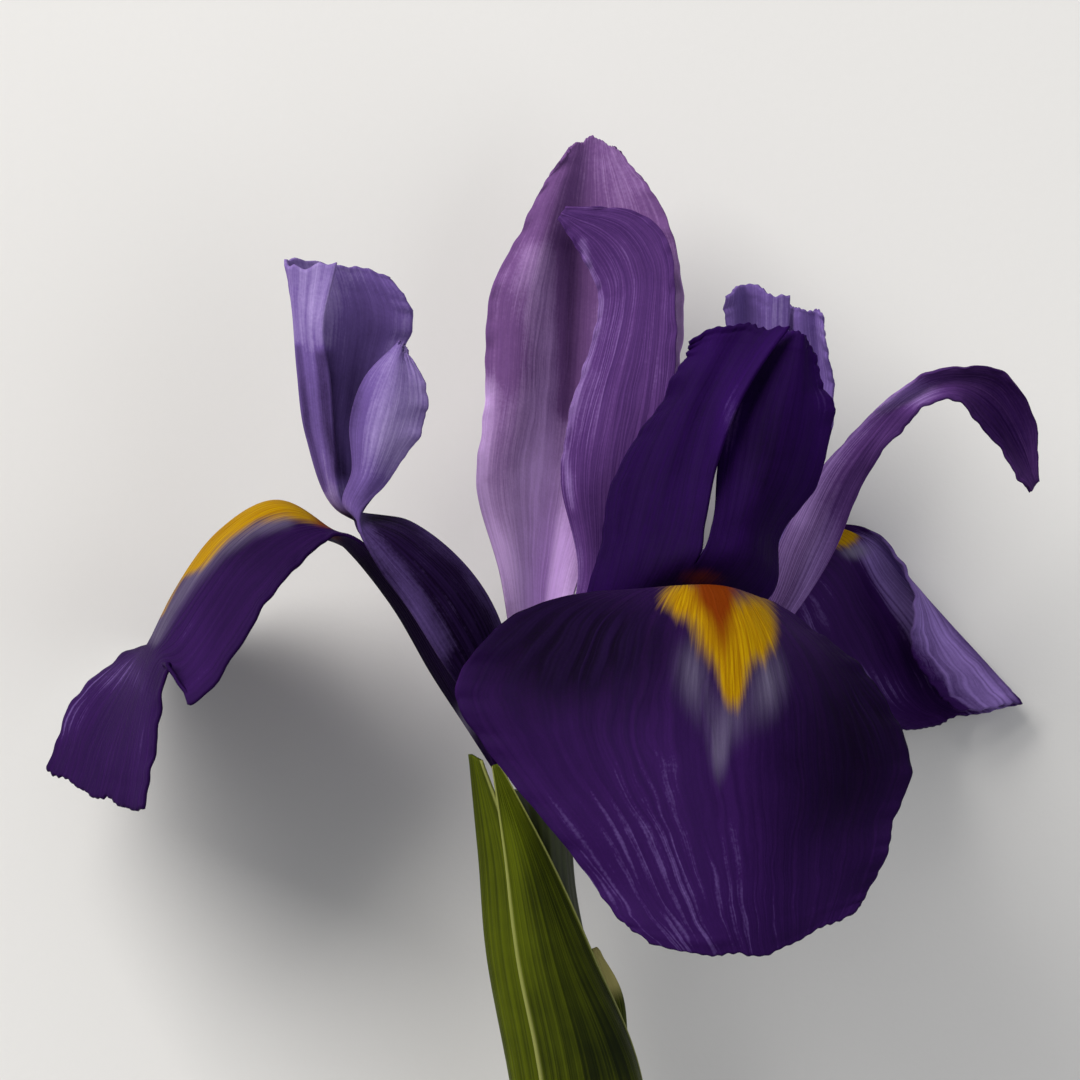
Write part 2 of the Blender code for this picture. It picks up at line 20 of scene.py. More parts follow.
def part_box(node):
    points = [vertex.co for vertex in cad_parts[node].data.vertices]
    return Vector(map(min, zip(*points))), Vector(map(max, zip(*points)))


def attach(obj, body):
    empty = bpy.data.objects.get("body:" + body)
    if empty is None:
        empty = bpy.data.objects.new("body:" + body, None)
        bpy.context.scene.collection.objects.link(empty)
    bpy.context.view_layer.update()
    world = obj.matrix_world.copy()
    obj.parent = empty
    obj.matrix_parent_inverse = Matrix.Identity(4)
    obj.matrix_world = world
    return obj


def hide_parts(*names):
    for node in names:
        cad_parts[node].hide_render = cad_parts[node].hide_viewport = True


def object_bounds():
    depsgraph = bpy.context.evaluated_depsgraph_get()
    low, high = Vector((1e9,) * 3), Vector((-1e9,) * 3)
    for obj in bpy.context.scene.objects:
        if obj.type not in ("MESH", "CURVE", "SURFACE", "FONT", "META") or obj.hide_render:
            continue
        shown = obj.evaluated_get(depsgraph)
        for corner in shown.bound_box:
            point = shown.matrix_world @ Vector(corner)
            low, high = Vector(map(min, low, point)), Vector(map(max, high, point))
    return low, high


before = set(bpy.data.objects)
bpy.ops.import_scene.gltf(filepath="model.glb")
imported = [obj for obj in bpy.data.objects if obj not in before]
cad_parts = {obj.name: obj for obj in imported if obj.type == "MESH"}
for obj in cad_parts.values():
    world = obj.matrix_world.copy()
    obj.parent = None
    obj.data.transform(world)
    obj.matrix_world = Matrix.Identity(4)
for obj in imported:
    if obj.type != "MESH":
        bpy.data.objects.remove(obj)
CAD_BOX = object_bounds()

LOG = logging.getLogger("iris")
MM = 0.001
WELD = 0.000004  # vertices closer than this are one, in metres
OFF_BEAT = 1.73  # second wave of a ruffled margin over the first, so that it never repeats
LIE_BACK_DEG = 9.1
LIE_ROLL_DEG = -3.6

Point = tuple[float, float, float]
Rail = tuple[Point, ...]
Panel = tuple[Rail, ...]
Line = tuple[tuple[float, float], ...]
Colour = tuple[float, float, float]


class Layer(Enum):
    """The paint layers a sheet carries as attributes of its points."""

    # Tone carries each sheet's own paler and darker tones and, on the petals and the outer spathe, painted
    # light and shade.
    TONE = "tone"
    YELLOW = "yellow"
    ORANGE = "orange"
    WHITE = "white"


# ---- shader building


def _operator(operation: str, swapped: bool = False) -> Callable[["Sock", "Sock | float"], "Sock"]:
    """Make an operator method of a shader socket.

    Args:
        operation: The Math node's operation.
        swapped: Whether the socket stands on the right.

    Returns:
        The method, which adds one Math node.
    """

    def apply(self: "Sock", other: "Sock | float") -> "Sock":
        """Add the Math node."""
        values = (other, self) if swapped else (self, other)
        return self.maker.add("ShaderNodeMath", {"operation": operation}, *values)

    return apply


@dataclass(frozen=True)
class Sock:
    """An output socket that can be used in sums: each operator adds a Math node to its material."""

    maker: "Nodes"
    socket: bpy.types.NodeSocket

    __add__ = _operator("ADD")
    __radd__ = _operator("ADD", swapped=True)
    __sub__ = _operator("SUBTRACT")
    __rsub__ = _operator("SUBTRACT", swapped=True)
    __mul__ = _operator("MULTIPLY")
    __rmul__ = _operator("MULTIPLY", swapped=True)
    __pow__ = _operator("POWER")

    def wave(self) -> "Sock":
        """Cosine of the value, brought to 0..1."""
        return self.maker.add("ShaderNodeMath", {"operation": "COSINE"}, self) * 0.5 + 0.5

    def size(self) -> "Sock":
        """The value without its sign."""
        return self.maker.add("ShaderNodeMath", {"operation": "ABSOLUTE"}, self)

    def step(self, low: float, high: float) -> "Sock":
        """A smooth rise from 0 at low to 1 at high.

        Args:
            low: Value where the rise starts.
            high: Value where it ends.

        Returns:
            The rise, between 0 and 1.
        """
        smooth = {"interpolation_type": "SMOOTHSTEP"}
        return self.maker.add("ShaderNodeMapRange", smooth, self, low, high, 0.0, 1.0)


class Nodes:
    """Builds the node tree of one material."""

    def __init__(self, name: str) -> None:
        """Make an empty material with an output.

        Args:
            name: The material's name.
        """
        self.material = bpy.data.materials.new(name)
        self.material.use_nodes = True
        self.tree = self.material.node_tree
        self.tree.nodes.clear()
        self.output = self.tree.nodes.new("ShaderNodeOutputMaterial")

    def add(
        self,
        kind: str,
        settings: dict[str, object] | None = None,
        *values: object,
        out: int | str = 0,
        **named: object,
    ) -> Sock:
        """Add a node, give it its settings and then the values or links of its sockets.

        Args:
            kind: The node's type.
            settings: Properties of the node, set before its sockets.
            *values: Values or links for its inputs, in order.
            out: Which output to return.
            **named: Values or links for inputs by name, with _ for a space.

        Returns:
            The chosen output.
        """
        node = self.tree.nodes.new(kind)
        for key, value in (settings or {}).items():
            setattr(node, key, value)
        for index, value in enumerate(values):
            self._feed(node.inputs[index], value)
        for key, value in named.items():
            self._feed(node.inputs[key.replace("_", " ")], value)
        return Sock(self, node.outputs[out])

    def _feed(self, socket: bpy.types.NodeSocket, value: object) -> None:
        """Link a socket to another, or set its own value."""
        if isinstance(value, Sock):
            self.tree.links.new(value.socket, socket)
        elif value is not None:
            if socket.type == "RGBA" and len(value) == 3:
                value = (*value, 1.0)
            socket.default_value = value

    def painted(self, layer: Layer) -> Sock:
        """A paint layer of the piece."""
        return self.add("ShaderNodeAttribute", {"attribute_name": layer.value}, out="Fac")

    def place(self) -> Sock:
        """Object coordinates."""
        return self.add("ShaderNodeTexCoord", out="Object")

    def across_along(self) -> tuple[Sock, Sock]:
        """The sheet's own coordinates: across it and along it, both 0..1."""
        uv = self.add("ShaderNodeUVMap", {"uv_map": "sheet"})
        split = self.add("ShaderNodeSeparateXYZ", None, uv).socket.node
        return Sock(self, split.outputs[0]), Sock(self, split.outputs[1])

    def grain(self, across: Sock, along: Sock, fine: float, long: float, detail: float = 2.0) -> Sock:
        """Noise drawn out along the sheet.

        Args:
            across: Coordinate across the sheet.
            along: Coordinate along the sheet.
            fine: Grains across the sheet.
            long: Grains along the sheet.
            detail: Detail of the noise.

        Returns:
            The noise, between 0 and 1.
        """
        where = self.add("ShaderNodeCombineXYZ", None, across * fine, along * long, 0.0)
        return self.add("ShaderNodeTexNoise", None, where, Scale=1.0, Detail=detail, Roughness=0.6)

    def speckle(self, scale: float, detail: float = 2.0) -> Sock:
        """Even noise in the object's own space, scale in grains per metre."""
        return self.add("ShaderNodeTexNoise", None, self.place(), Scale=scale, Detail=detail, Roughness=0.6)

    def mix(self, share: Sock | float, first: object, second: object) -> Sock:
        """Mix two colours.

        Args:
            share: How much of the second colour.
            first: The first colour.
            second: The second colour.

        Returns:
            The mixed colour.
        """
        node = self.tree.nodes.new("ShaderNodeMix")
        node.data_type = "RGBA"
        node.clamp_factor = True
        self._feed(node.inputs[0], share)
        self._feed(node.inputs[6], first)
        self._feed(node.inputs[7], second)
        return Sock(self, node.outputs[2])

    def ramp(self, value: Sock, *colours: Colour) -> Sock:
        """A ramp over a value, through evenly spaced colours."""
        ramp = self.add("ShaderNodeValToRGB", None, value)
        stops = ramp.socket.node.color_ramp.elements
        while len(stops) < len(colours):
            stops.new(0.5)
        for index, colour in enumerate(colours):
            stops[index].position = index / (len(colours) - 1)
            stops[index].color = (*colour, 1.0)
        return ramp

    def bump(self, strength: float, height: Sock, depth: float = 0.0002) -> Sock:
        """A bumped normal; depth is in metres."""
        return self.add("ShaderNodeBump", None, Strength=strength, Distance=depth, Height=height)

    def surface(self, **sockets: object) -> bpy.types.Material:
        """Finish the material with a Principled shader.

        Args:
            **sockets: Values or links of the shader's inputs by name, with _ for a space.

        Returns:
            The material.
        """
        shader = self.add("ShaderNodeBsdfPrincipled", None, **sockets)
        self.tree.links.new(shader.socket, self.output.inputs["Surface"])
        return self.material


# ---- finishes


@dataclass(frozen=True)
class PetalFinish:
    """Petal tissue: a tone from deep to pale, branching veins, and a signal patch where it is painted."""

    name: str
    deep: Colour
    middle: Colour
    pale: Colour
    main_veins: float = 13.0
    fine_veins: float = 42.0
    vein_depth: float = 0.14
    vein_colour: Colour = (0.02, 0.004, 0.06)
    vein_stain: float = 0.3
    gloss: float = 0.03
    rough: float = 0.68
    relief: float = 0.35
    streaks: float = 0.34
    fibres: float = 0.24
    mottling: float = 0.28
    halo: Colour = (0.15, 0.13, 0.20)
    glow: Colour = (0.14, 0.022, 0.0004)
    gold: Colour = (0.23, 0.098, 0.0003)
    straw: Colour = (0.38, 0.22, 0.0008)

    def _veins(self, n: Nodes, across: Sock, along: Sock, count: float, wander: Sock, thin: float) -> Sock:
        """Fine lines that run along the sheet, wander and branch.

        Args:
            n: The material's node builder.
            across: Coordinate across the sheet.
            along: Coordinate along the sheet.
            count: Lines across the sheet.
            wander: Noise that bends the lines.
            thin: How thin the lines are.

        Returns:
            The lines, 1 on a line and 0 between.
        """
        ridge = n.grain(across + (wander - 0.5) * 0.10, along, count * 2.0, 1.1, 1.0)
        return (1 - (ridge - 0.5).size() * 6.0).step(0.0, 1.0) ** thin

    def build(self) -> bpy.types.Material:
        """Build the material."""
        n = Nodes(self.name)
        across, along = n.across_along()
        tone, yellow, orange, white = (n.painted(layer) for layer in Layer)
        fibre = n.grain(across, along, 150.0, 9.0, 3.0)
        streak = n.grain(across, along, 34.0, 2.2, 4.0)
        wander = n.grain(across, along, 5.0, 5.0, 2.0)
        mottle = n.speckle(150.0, 3.0)
        cells = n.speckle(2800.0, 1.0)
        main = self._veins(n, across, along, self.main_veins, wander, 2.0)
        fine = self._veins(n, across, along, self.fine_veins, wander, 1.4) * wander.step(0.35, 0.65)
        veins = main * (0.3 + 0.7 * streak) + fine * 0.45
        # The tone layer brings each sheet's painted light and shade into the ramp, along with its own tones.
        light = tone + (fibre - 0.5) * self.fibres + (mottle - 0.5) * self.mottling
        light = light + (streak - 0.5) * self.streaks - veins * self.vein_depth + (cells - 0.5) * 0.12
        tissue = n.ramp(light, self.deep, self.middle, self.pale)
        tissue = n.mix(veins * self.vein_stain, tissue, self.vein_colour)
        halo = (white + (streak - 0.5) * 1.1 * white + (fibre - 0.5) * 0.6 * white).step(0.12, 0.95)
        tissue = n.mix(halo * 0.85, tissue, self.halo)
        gold = (yellow + (streak - 0.5) * 0.5 + (fibre - 0.5) * 0.3).step(0.26, 0.74)
        tissue = n.mix(gold, tissue, n.mix(fibre.step(0.3, 0.7), self.gold, self.straw))
        glow = (orange + (streak - 0.5) * 0.5 + (fibre - 0.5) * 0.2).step(0.25, 0.95)
        tissue = n.mix(glow, tissue, self.glow)

        height = main * self.vein_depth * 2.4 + fine * 0.15 + fibre * 0.4 + cells * 0.4 + mottle * 1.1
        return n.surface(
            Base_Color=tissue,
            Roughness=(cells - 0.5) * 0.2 + (self.rough + 0.05) - veins * 0.08,
            Normal=n.bump(self.relief, height, 0.00022),
            Specular_IOR_Level=self.gloss,
            Subsurface_Weight=0.08,
            Subsurface_Radius=(0.9, 0.5, 1.0),
            Subsurface_Scale=0.0006,
        )


@dataclass(frozen=True)
class LeafFinish:
    """Green leaf with fine stripes along it and pale papery margins."""

    name: str
    deep: Colour
    bright: Colour
    paper: Colour
    dry: Colour = (0.30, 0.22, 0.10)
    stripes: float = 34.0
    margin: float = 0.035

    def build(self) -> bpy.types.Material:
        """Build the material."""
        n = Nodes(self.name)
        across, along = n.across_along()
        tone = n.painted(Layer.TONE)
        paper = n.painted(Layer.WHITE)
        fibre = n.grain(across, along, 160.0, 5.0, 4.0)
        blotch = n.speckle(110.0, 3.0)
        cells = n.speckle(3200.0, 1.0)
        stripe = n.grain(across, along, self.stripes, 0.8, 2.0).step(0.3, 0.7)
        light = tone + (fibre - 0.5) * 0.4 + (stripe - 0.5) * 0.3 + (blotch - 0.5) * 0.4
        leaf = n.mix(light.step(0.0, 1.0), self.deep, self.bright)
        edge = 1 - (0.5 - (across - 0.5).size()).step(self.margin * 0.35, self.margin + 0.012)
        dry = (paper + (fibre - 0.5) * 0.5).step(0.3, 0.75)
        leaf = n.mix(edge * 0.6, leaf, self.paper)
        leaf = n.mix(dry, leaf, n.mix(fibre, self.paper, self.dry))
        height = stripe * 0.8 + fibre * 0.5 + cells * 0.25 + blotch * 0.6
        return n.surface(
            Base_Color=leaf,
            Roughness=0.48 + (fibre - 0.5) * 0.2 + dry * 0.25,
            Normal=n.bump(0.55, height),
            Specular_IOR_Level=0.06,
            Subsurface_Weight=0.08,
            Subsurface_Radius=(0.6, 1.0, 0.2),
            Subsurface_Scale=0.0008,
        )


@dataclass(frozen=True)
class StalkFinish:
    """Waxy stalk: length-wise grooves, a bloom of wax, and a fibrous cut face where it is painted white."""

    name: str
    deep: Colour
    bright: Colour
    cut: Colour
    grooves: int = 22

    def build(self) -> bpy.types.Material:
        """Build the material."""
        n = Nodes(self.name)
        across, along = n.across_along()
        face = n.painted(Layer.WHITE)
        tone = n.painted(Layer.TONE)
        fibre = n.grain(across, along, 90.0, 16.0, 4.0)
        bloom = n.speckle(260.0, 4.0)
        cells = n.speckle(3500.0, 1.0)
        groove = (across * (self.grooves * 2 * math.pi)).wave()
        light = tone + (fibre - 0.5) * 0.5 + (groove - 0.5) * 0.2 + (bloom - 0.5) * 0.5
        skin = n.mix(light.step(0.1, 0.9), self.deep, self.bright)
        pores = n.add("ShaderNodeTexVoronoi", None, n.place(), Scale=1900.0).step(0.1, 0.5)
        inside = n.mix(pores, self.deep, self.cut)
        colour = n.mix(face.step(0.4, 0.6), skin, inside)
        height = groove * 0.5 + fibre * 0.5 + cells * 0.2 + pores * face
        return n.surface(
            Base_Color=colour,
            Roughness=0.46 + (bloom - 0.5) * 0.3 + face * 0.25,
            Normal=n.bump(0.5, height),
            Specular_IOR_Level=0.3,
            Coat_Weight=0.03,
            Subsurface_Weight=0.06,
            Subsurface_Radius=(0.5, 1.0, 0.2),
            Subsurface_Scale=0.001,
        )


@dataclass(frozen=True)
class PollenFinish:
    """Dusty anther over a smooth filament, the dust where it is painted yellow."""

    name: str
    filament: Colour
    dust: Colour
    shade: Colour = (0.34, 0.24, 0.10)
    blush: Colour = (0.42, 0.34, 0.52)

    def build(self) -> bpy.types.Material:
        """Build the material."""
        n = Nodes(self.name)
        dusty = n.painted(Layer.YELLOW)
        grains = n.speckle(5200.0, 2.0)
        patches = n.speckle(700.0, 2.0)
        dust = n.mix(grains.step(0.35, 0.65), self.shade, self.dust)
        stalk = n.mix(patches, self.filament, self.blush)
        colour = n.mix(dusty.step(0.3, 0.7), stalk, dust)
        bump = n.bump(0.7, grains * dusty + patches * 0.3, 0.00015)
        return n.surface(Base_Color=colour, Roughness=0.55 + dusty * 0.35, Normal=bump)


@dataclass(frozen=True)
class PaperFinish:
    """The pale studio floor."""

    name: str = "studio_paper"
    colour: Colour = (0.70, 0.69, 0.67)
    tooth: Colour = (0.60, 0.59, 0.57)

    def build(self) -> bpy.types.Material:
        """Build the material."""
        n = Nodes(self.name)
        tooth = n.speckle(900.0, 3.0)
        colour = n.mix(tooth * 0.08, self.colour, self.tooth)
        return n.surface(Base_Color=colour, Roughness=0.9, Normal=n.bump(0.1, tooth), Specular_IOR_Level=0.2)


Finish = PetalFinish | LeafFinish | StalkFinish | PollenFinish

# ---- shaping


@dataclass(frozen=True)
class Waves:
    """Waves that a sheet's margins or its whole width carry.

    Attributes:
        height: Height of the waves in mm.
        count: Waves along the sheet, or across it for pleats.
        phase: Where the first wave starts, in radians.
        start: Share of the length where they begin to rise.
        inner: Share of the half width that stays smooth.
        lean: How far the two margins are out of step, in radians.
    """

    height: float = 0.0
    count: float = 0.0
    phase: float = 0.0
    start: float = 0.3
    inner: float = 0.35
    lean: float = 1.9


@dataclass(frozen=True)
class Patch:
    """A soft patch of paint on a sheet: place and reach in the flower's frame, in mm, and its value."""

    x: float
    y: float
    reach_x: float
    reach_y: float
    value: float

    def over(self, points: np.ndarray) -> np.ndarray:
        """The patch's share at each point."""
        right = (points[..., 0] - self.x) / self.reach_x
        up = (points[..., 1] - self.y) / self.reach_y
        return self.value * np.exp(-(right**2 + up**2))


@dataclass(frozen=True)
class Band:
    """A soft band of paint along a line of places in the flower's frame, in mm."""

    line: Line
    reach: float
    value: float

    def over(self, points: np.ndarray) -> np.ndarray:
        """The band's share at each point."""
        nearest = np.full(points.shape[:-1], np.inf)
        flat = points[..., :2]
        for start, end in zip(self.line, self.line[1:]):
            first = np.array(start)
            reach = np.array(end) - first
            share = np.clip(((flat - first) @ reach) / (reach @ reach), 0.0, 1.0)
            gap = np.linalg.norm(flat - first - share[..., None] * reach, axis=-1)
            nearest = np.minimum(nearest, gap)
        return self.value * np.exp(-((nearest / self.reach) ** 2))


def along_spline(points: np.ndarray, where: np.ndarray) -> np.ndarray:
    """Points on a Catmull-Rom spline through evenly spaced stations.

    Args:
        points: The stations, one row each.
        where: Places along the spline, 0..1.

    Returns:
        One row for each place.
    """
    count = len(points)
    padded = np.concatenate([[2 * points[0] - points[1]], points, [2 * points[-1] - points[-2]]])
    place = np.clip(where, 0.0, 1.0) * (count - 1)
    first = np.minimum(place.astype(int), count - 2)
    step = (place - first).reshape((-1,) + (1,) * (points.ndim - 1))
    before, start, end, after = (padded[first + k] for k in range(4))
    linear = (end - before) * step
    square = (2 * before - 5 * start + 4 * end - after) * step**2
    cube = (3 * start - before - 3 * end + after) * step**3
    return 0.5 * (2 * start + linear + square + cube)


def unit(vectors: np.ndarray) -> np.ndarray:
    """The vectors, brought to length 1."""
    return vectors / np.maximum(np.linalg.norm(vectors, axis=-1, keepdims=True), 1e-9)


def rise(value: np.ndarray, low: float, high: float) -> np.ndarray:
    """A smooth rise from 0 at low to 1 at high."""
    share = np.clip((value - low) / (high - low), 0.0, 1.0)
    return share * share * (3.0 - 2.0 * share)


class Lie:
    """Lays the flower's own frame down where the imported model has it."""

    def __init__(self, back: float, roll: float) -> None:
        """Work out the turn.

        Args:
            back: Turn about X in degrees.
            roll: Turn about Y after that, in degrees.
        """
        self.turn = Matrix.Rotation(math.radians(roll), 3, "Y") @ Matrix.Rotation(math.radians(back), 3, "X")
        self.heart = Vector((0.0, 0.0, 0.0))

    def settle(self, points: np.ndarray, node: str) -> None:
        """Find the heart's place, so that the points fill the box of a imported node.

        Args:
            points: Points of the node's shape in the flower's frame, in mm.
            node: The node's name.
        """
        turned = np.array(points).reshape(-1, 3) @ np.array(self.turn).T * MM
        low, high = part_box(node)
        middle = (turned.min(axis=0) + turned.max(axis=0)) / 2.0
        self.heart = (low + high) / 2.0 - Vector(middle)

    def lay(self, points: np.ndarray) -> np.ndarray:
        """Points of the flower's frame, laid down in metres."""
        return np.array(points) @ np.array(self.turn).T * MM + np.array(self.heart)

    def spot(self, x: float, y: float, z: float) -> Vector:
        """One point of the flower's frame, laid down in metres."""
        return Vector(self.lay(np.array((x, y, z))))


@dataclass
class Piece:
    """One piece of the flower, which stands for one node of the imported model."""

    name: str
    node: str
    slot: str
    lie: Lie
    finish: bpy.types.Material

    def _grid(self, mesh: bmesh.types.BMesh, points: np.ndarray, paint: dict[Layer, np.ndarray]) -> None:
        """Add a grid to the mesh, its vertices at the points, with its own coordinates and paint.

        Args:
            mesh: The mesh to add to.
            points: Rows and columns of points in the flower's frame.
            paint: A value for each point of each layer.
        """
        rows, columns = points.shape[0] - 1, points.shape[1] - 1
        uv = mesh.loops.layers.uv.get("sheet") or mesh.loops.layers.uv.new("sheet")
        floats = mesh.verts.layers.float
        layers = {key: floats.get(key.value) or floats.new(key.value) for key in Layer}
        made = bmesh.ops.create_grid(mesh, x_segments=rows, y_segments=columns, size=1.0)["verts"]
        laid = self.lie.lay(points)
        where = {}
        for vert in made:
            row = round((vert.co.x + 1.0) / 2.0 * rows)
            column = round((vert.co.y + 1.0) / 2.0 * columns)
            where[vert] = (column / columns, row / rows)
            vert.co = laid[row, column]
            for key, values in paint.items():
                vert[layers[key]] = float(values[row, column])
        for face in {face for vert in made for face in vert.link_faces}:
            for loop in face.loops:
                loop[uv].uv = where[loop.vert]
            face.smooth = True

    def _finish(self, mesh: bmesh.types.BMesh) -> bpy.types.Object:
        """Turn the mesh into the finished piece, riding on the flower's body.

        Args:
            mesh: The mesh, which is freed.

        Returns:
            The piece.
        """
        data = bpy.data.meshes.new(self.name)
        mesh.to_mesh(data)
        mesh.free()
        data.materials.append(self.finish)
        piece = bpy.data.objects.new(self.name, data)
        bpy.context.scene.collection.objects.link(piece)
        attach(piece, "root")
        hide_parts(self.node)
        return piece


@dataclass
class Sheet(Piece):
    """A petal or leaf stretched over guide rails that run from its base to its tip.

    The rails are listed from one margin to the other.  A style arm has two panels that share their
    inner rail as far as split.
    """

    panels: tuple[Panel, ...] = ()
    rows: int = 150
    columns: int = 80
    thickness: float = 0.42
    split: float = 0.0
    tone: float = 0.5
    ruffle: Waves = field(default_factory=Waves)
    crimp: Waves = field(default_factory=Waves)
    pleat: Waves = field(default_factory=Waves)
    ribs: Waves = field(default_factory=Waves)
    nibble: float = 0.35
    fringe: float = 0.0
    # Patches and bands of the tone layer: the sheet's own paler and darker tones, and painted light and
    # shade, with highlights on margins and folds that face the light and shade in creases and under other
    # petals.
    tone_and_painted_light: tuple[Patch | Band, ...] = ()
    yellows: tuple[Patch | Band, ...] = ()
    oranges: tuple[Patch | Band, ...] = ()
    whites: tuple[Patch | Band, ...] = ()
    signal_half: float = 9.0

    def _net(self, rails: Panel) -> np.ndarray:
        """The smooth net of points stretched over one panel's rails."""
        down = np.linspace(0.0, 1.0, self.rows + 1)
        curves = np.array([along_spline(np.array(rail), down) for rail in rails])
        return np.swapaxes(along_spline(curves, np.linspace(0.0, 1.0, self.columns + 1)), 0, 1)

    def _worked(self, net: np.ndarray, first: float, last: float) -> np.ndarray:
        """The net with its ruffles, crimped margins, pleats, ribs and nibbled outline.

        Args:
            net: The smooth net.
            first: Where its first column lies across the whole sheet, -1..1.
            last: Where its last column lies.

        Returns:
            The worked net.
        """
        down = np.gradient(net, axis=0)
        over = np.gradient(net, axis=1)
        width = np.linalg.norm(over, axis=2) * net.shape[1]
        length = np.linspace(0.0, 1.0, net.shape[0])[:, None]
        side = np.linspace(first, last, net.shape[1])[None, :]
        height = np.zeros(net.shape[:2])
        for waves in (self.ruffle, self.crimp):
            edge = rise(np.abs(side), waves.inner, 1.0) ** 1.3
            tip = rise(length, 0.9, 1.0) * rise(np.abs(side), 0.0, 0.4) * 0.5
            first_wave = np.sin(2 * math.pi * waves.count * length + waves.phase + waves.lean * side)
            off_beat = 2 * math.pi * waves.count * OFF_BEAT * length
            second_wave = np.sin(off_beat + 2.1 + waves.phase * 1.7 - side)
            reach = waves.height * np.maximum(edge, tip) * rise(length, waves.start, waves.start + 0.25)
            height += reach * (0.7 * first_wave + 0.4 * second_wave)
        fold = np.cos(math.pi * self.pleat.count * side + self.pleat.phase + 0.8 * np.sin(5.0 * length))
        height += self.pleat.height * fold * rise(length, self.pleat.start, 1.0)
        rib = np.abs(np.sin(math.pi * self.ribs.count * side + 0.5 * np.sin(4.0 * length + 3.0 * side)))
        height += self.ribs.height * (1.0 - rib) * rise(length, self.ribs.start, self.ribs.start + 0.2)
        bite = self._ragged(length + 0.37 * np.sign(side)) * rise(length, 0.35, 0.55)
        bite = bite * np.sign(side) * rise(np.abs(side), 0.7, 1.0) * np.minimum(width * 0.06, 1.0)
        fringe = self._ragged(0.45 * side + 0.2) * rise(length, 0.86, 1.0)
        worked = net + unit(np.cross(down, over)) * height[..., None]
        worked = worked + unit(over) * (self.nibble * bite)[..., None]
        return worked + unit(down) * (self.fringe * fringe)[..., None]

    @staticmethod
    def _ragged(place: np.ndarray) -> np.ndarray:
        """An irregular, mostly inward bitten line, about -1..0.5, along a margin."""
        swell = 0.4 * np.sin(19.0 * place + 3.0) + 0.3 * np.sin(33.0 * place + 1.0)
        teeth = np.abs(np.sin(47.0 * place + 2.0 * np.sin(11.0 * place))) * (0.5 + 0.5 * np.sin(13.0 * place))
        return swell - 0.5 * teeth + 0.12 * np.sin(131.0 * place)

    def _paint(self, net: np.ndarray, first: float, last: float) -> dict[Layer, np.ndarray]:
        """The paint of each layer at each point of a net.

        Args:
            net: The worked net.
            first: Where its first column lies across the whole sheet, -1..1.
            last: Where its last column lies.

        Returns:
            Each layer's paint, 0..1; the signal patch keeps to the sheet's middle and tapers to the tip.
        """
        length = np.linspace(0.0, 1.0, net.shape[0])[:, None]
        side = np.abs(np.linspace(first, last, net.shape[1]))[None, :]
        half = self.signal_half * (1.0 - 0.55 * rise(length, 0.5, 0.85))
        signal = 1.0 - rise(side / half, 0.55, 1.0)
        layers = {
            Layer.TONE: self.tone_and_painted_light,
            Layer.YELLOW: self.yellows,
            Layer.ORANGE: self.oranges,
            Layer.WHITE: self.whites,
        }
        painted = {}
        for layer, patches in layers.items():
            values = np.full(net.shape[:2], self.tone if layer is Layer.TONE else 0.0)
            for patch in patches:
                values = values + patch.over(net)
            painted[layer] = np.clip(values if layer is Layer.TONE else values * signal, 0.0, 1.0)
        return painted

    def build(self) -> bpy.types.Object:
        """Build the sheet as one closed thin body.

        Returns:
            The finished piece.
        """
        edges = np.linspace(-1.0, 1.0, len(self.panels) + 1)
        nets = []
        for panel, first, last in zip(self.panels, edges, edges[1:]):
            nets.append(self._worked(self._net(panel), first, last))
        for left, right in zip(nets, nets[1:]):
            joined = round(self.split * self.rows) + 1
            right[:joined, 0] = left[:joined, -1]
        mesh = bmesh.new()
        for net, first, last in zip(nets, edges, edges[1:]):
            self._grid(mesh, net, self._paint(net, first, last))
        bmesh.ops.remove_doubles(mesh, verts=mesh.verts, dist=WELD)
        bmesh.ops.recalc_face_normals(mesh, faces=mesh.faces)
        piece = self._finish(mesh)
        wall = piece.modifiers.new("wall", "SOLIDIFY")
        wall.thickness = self.thickness * MM
        wall.offset = 0.0
        wall.use_even_offset = False
        return piece


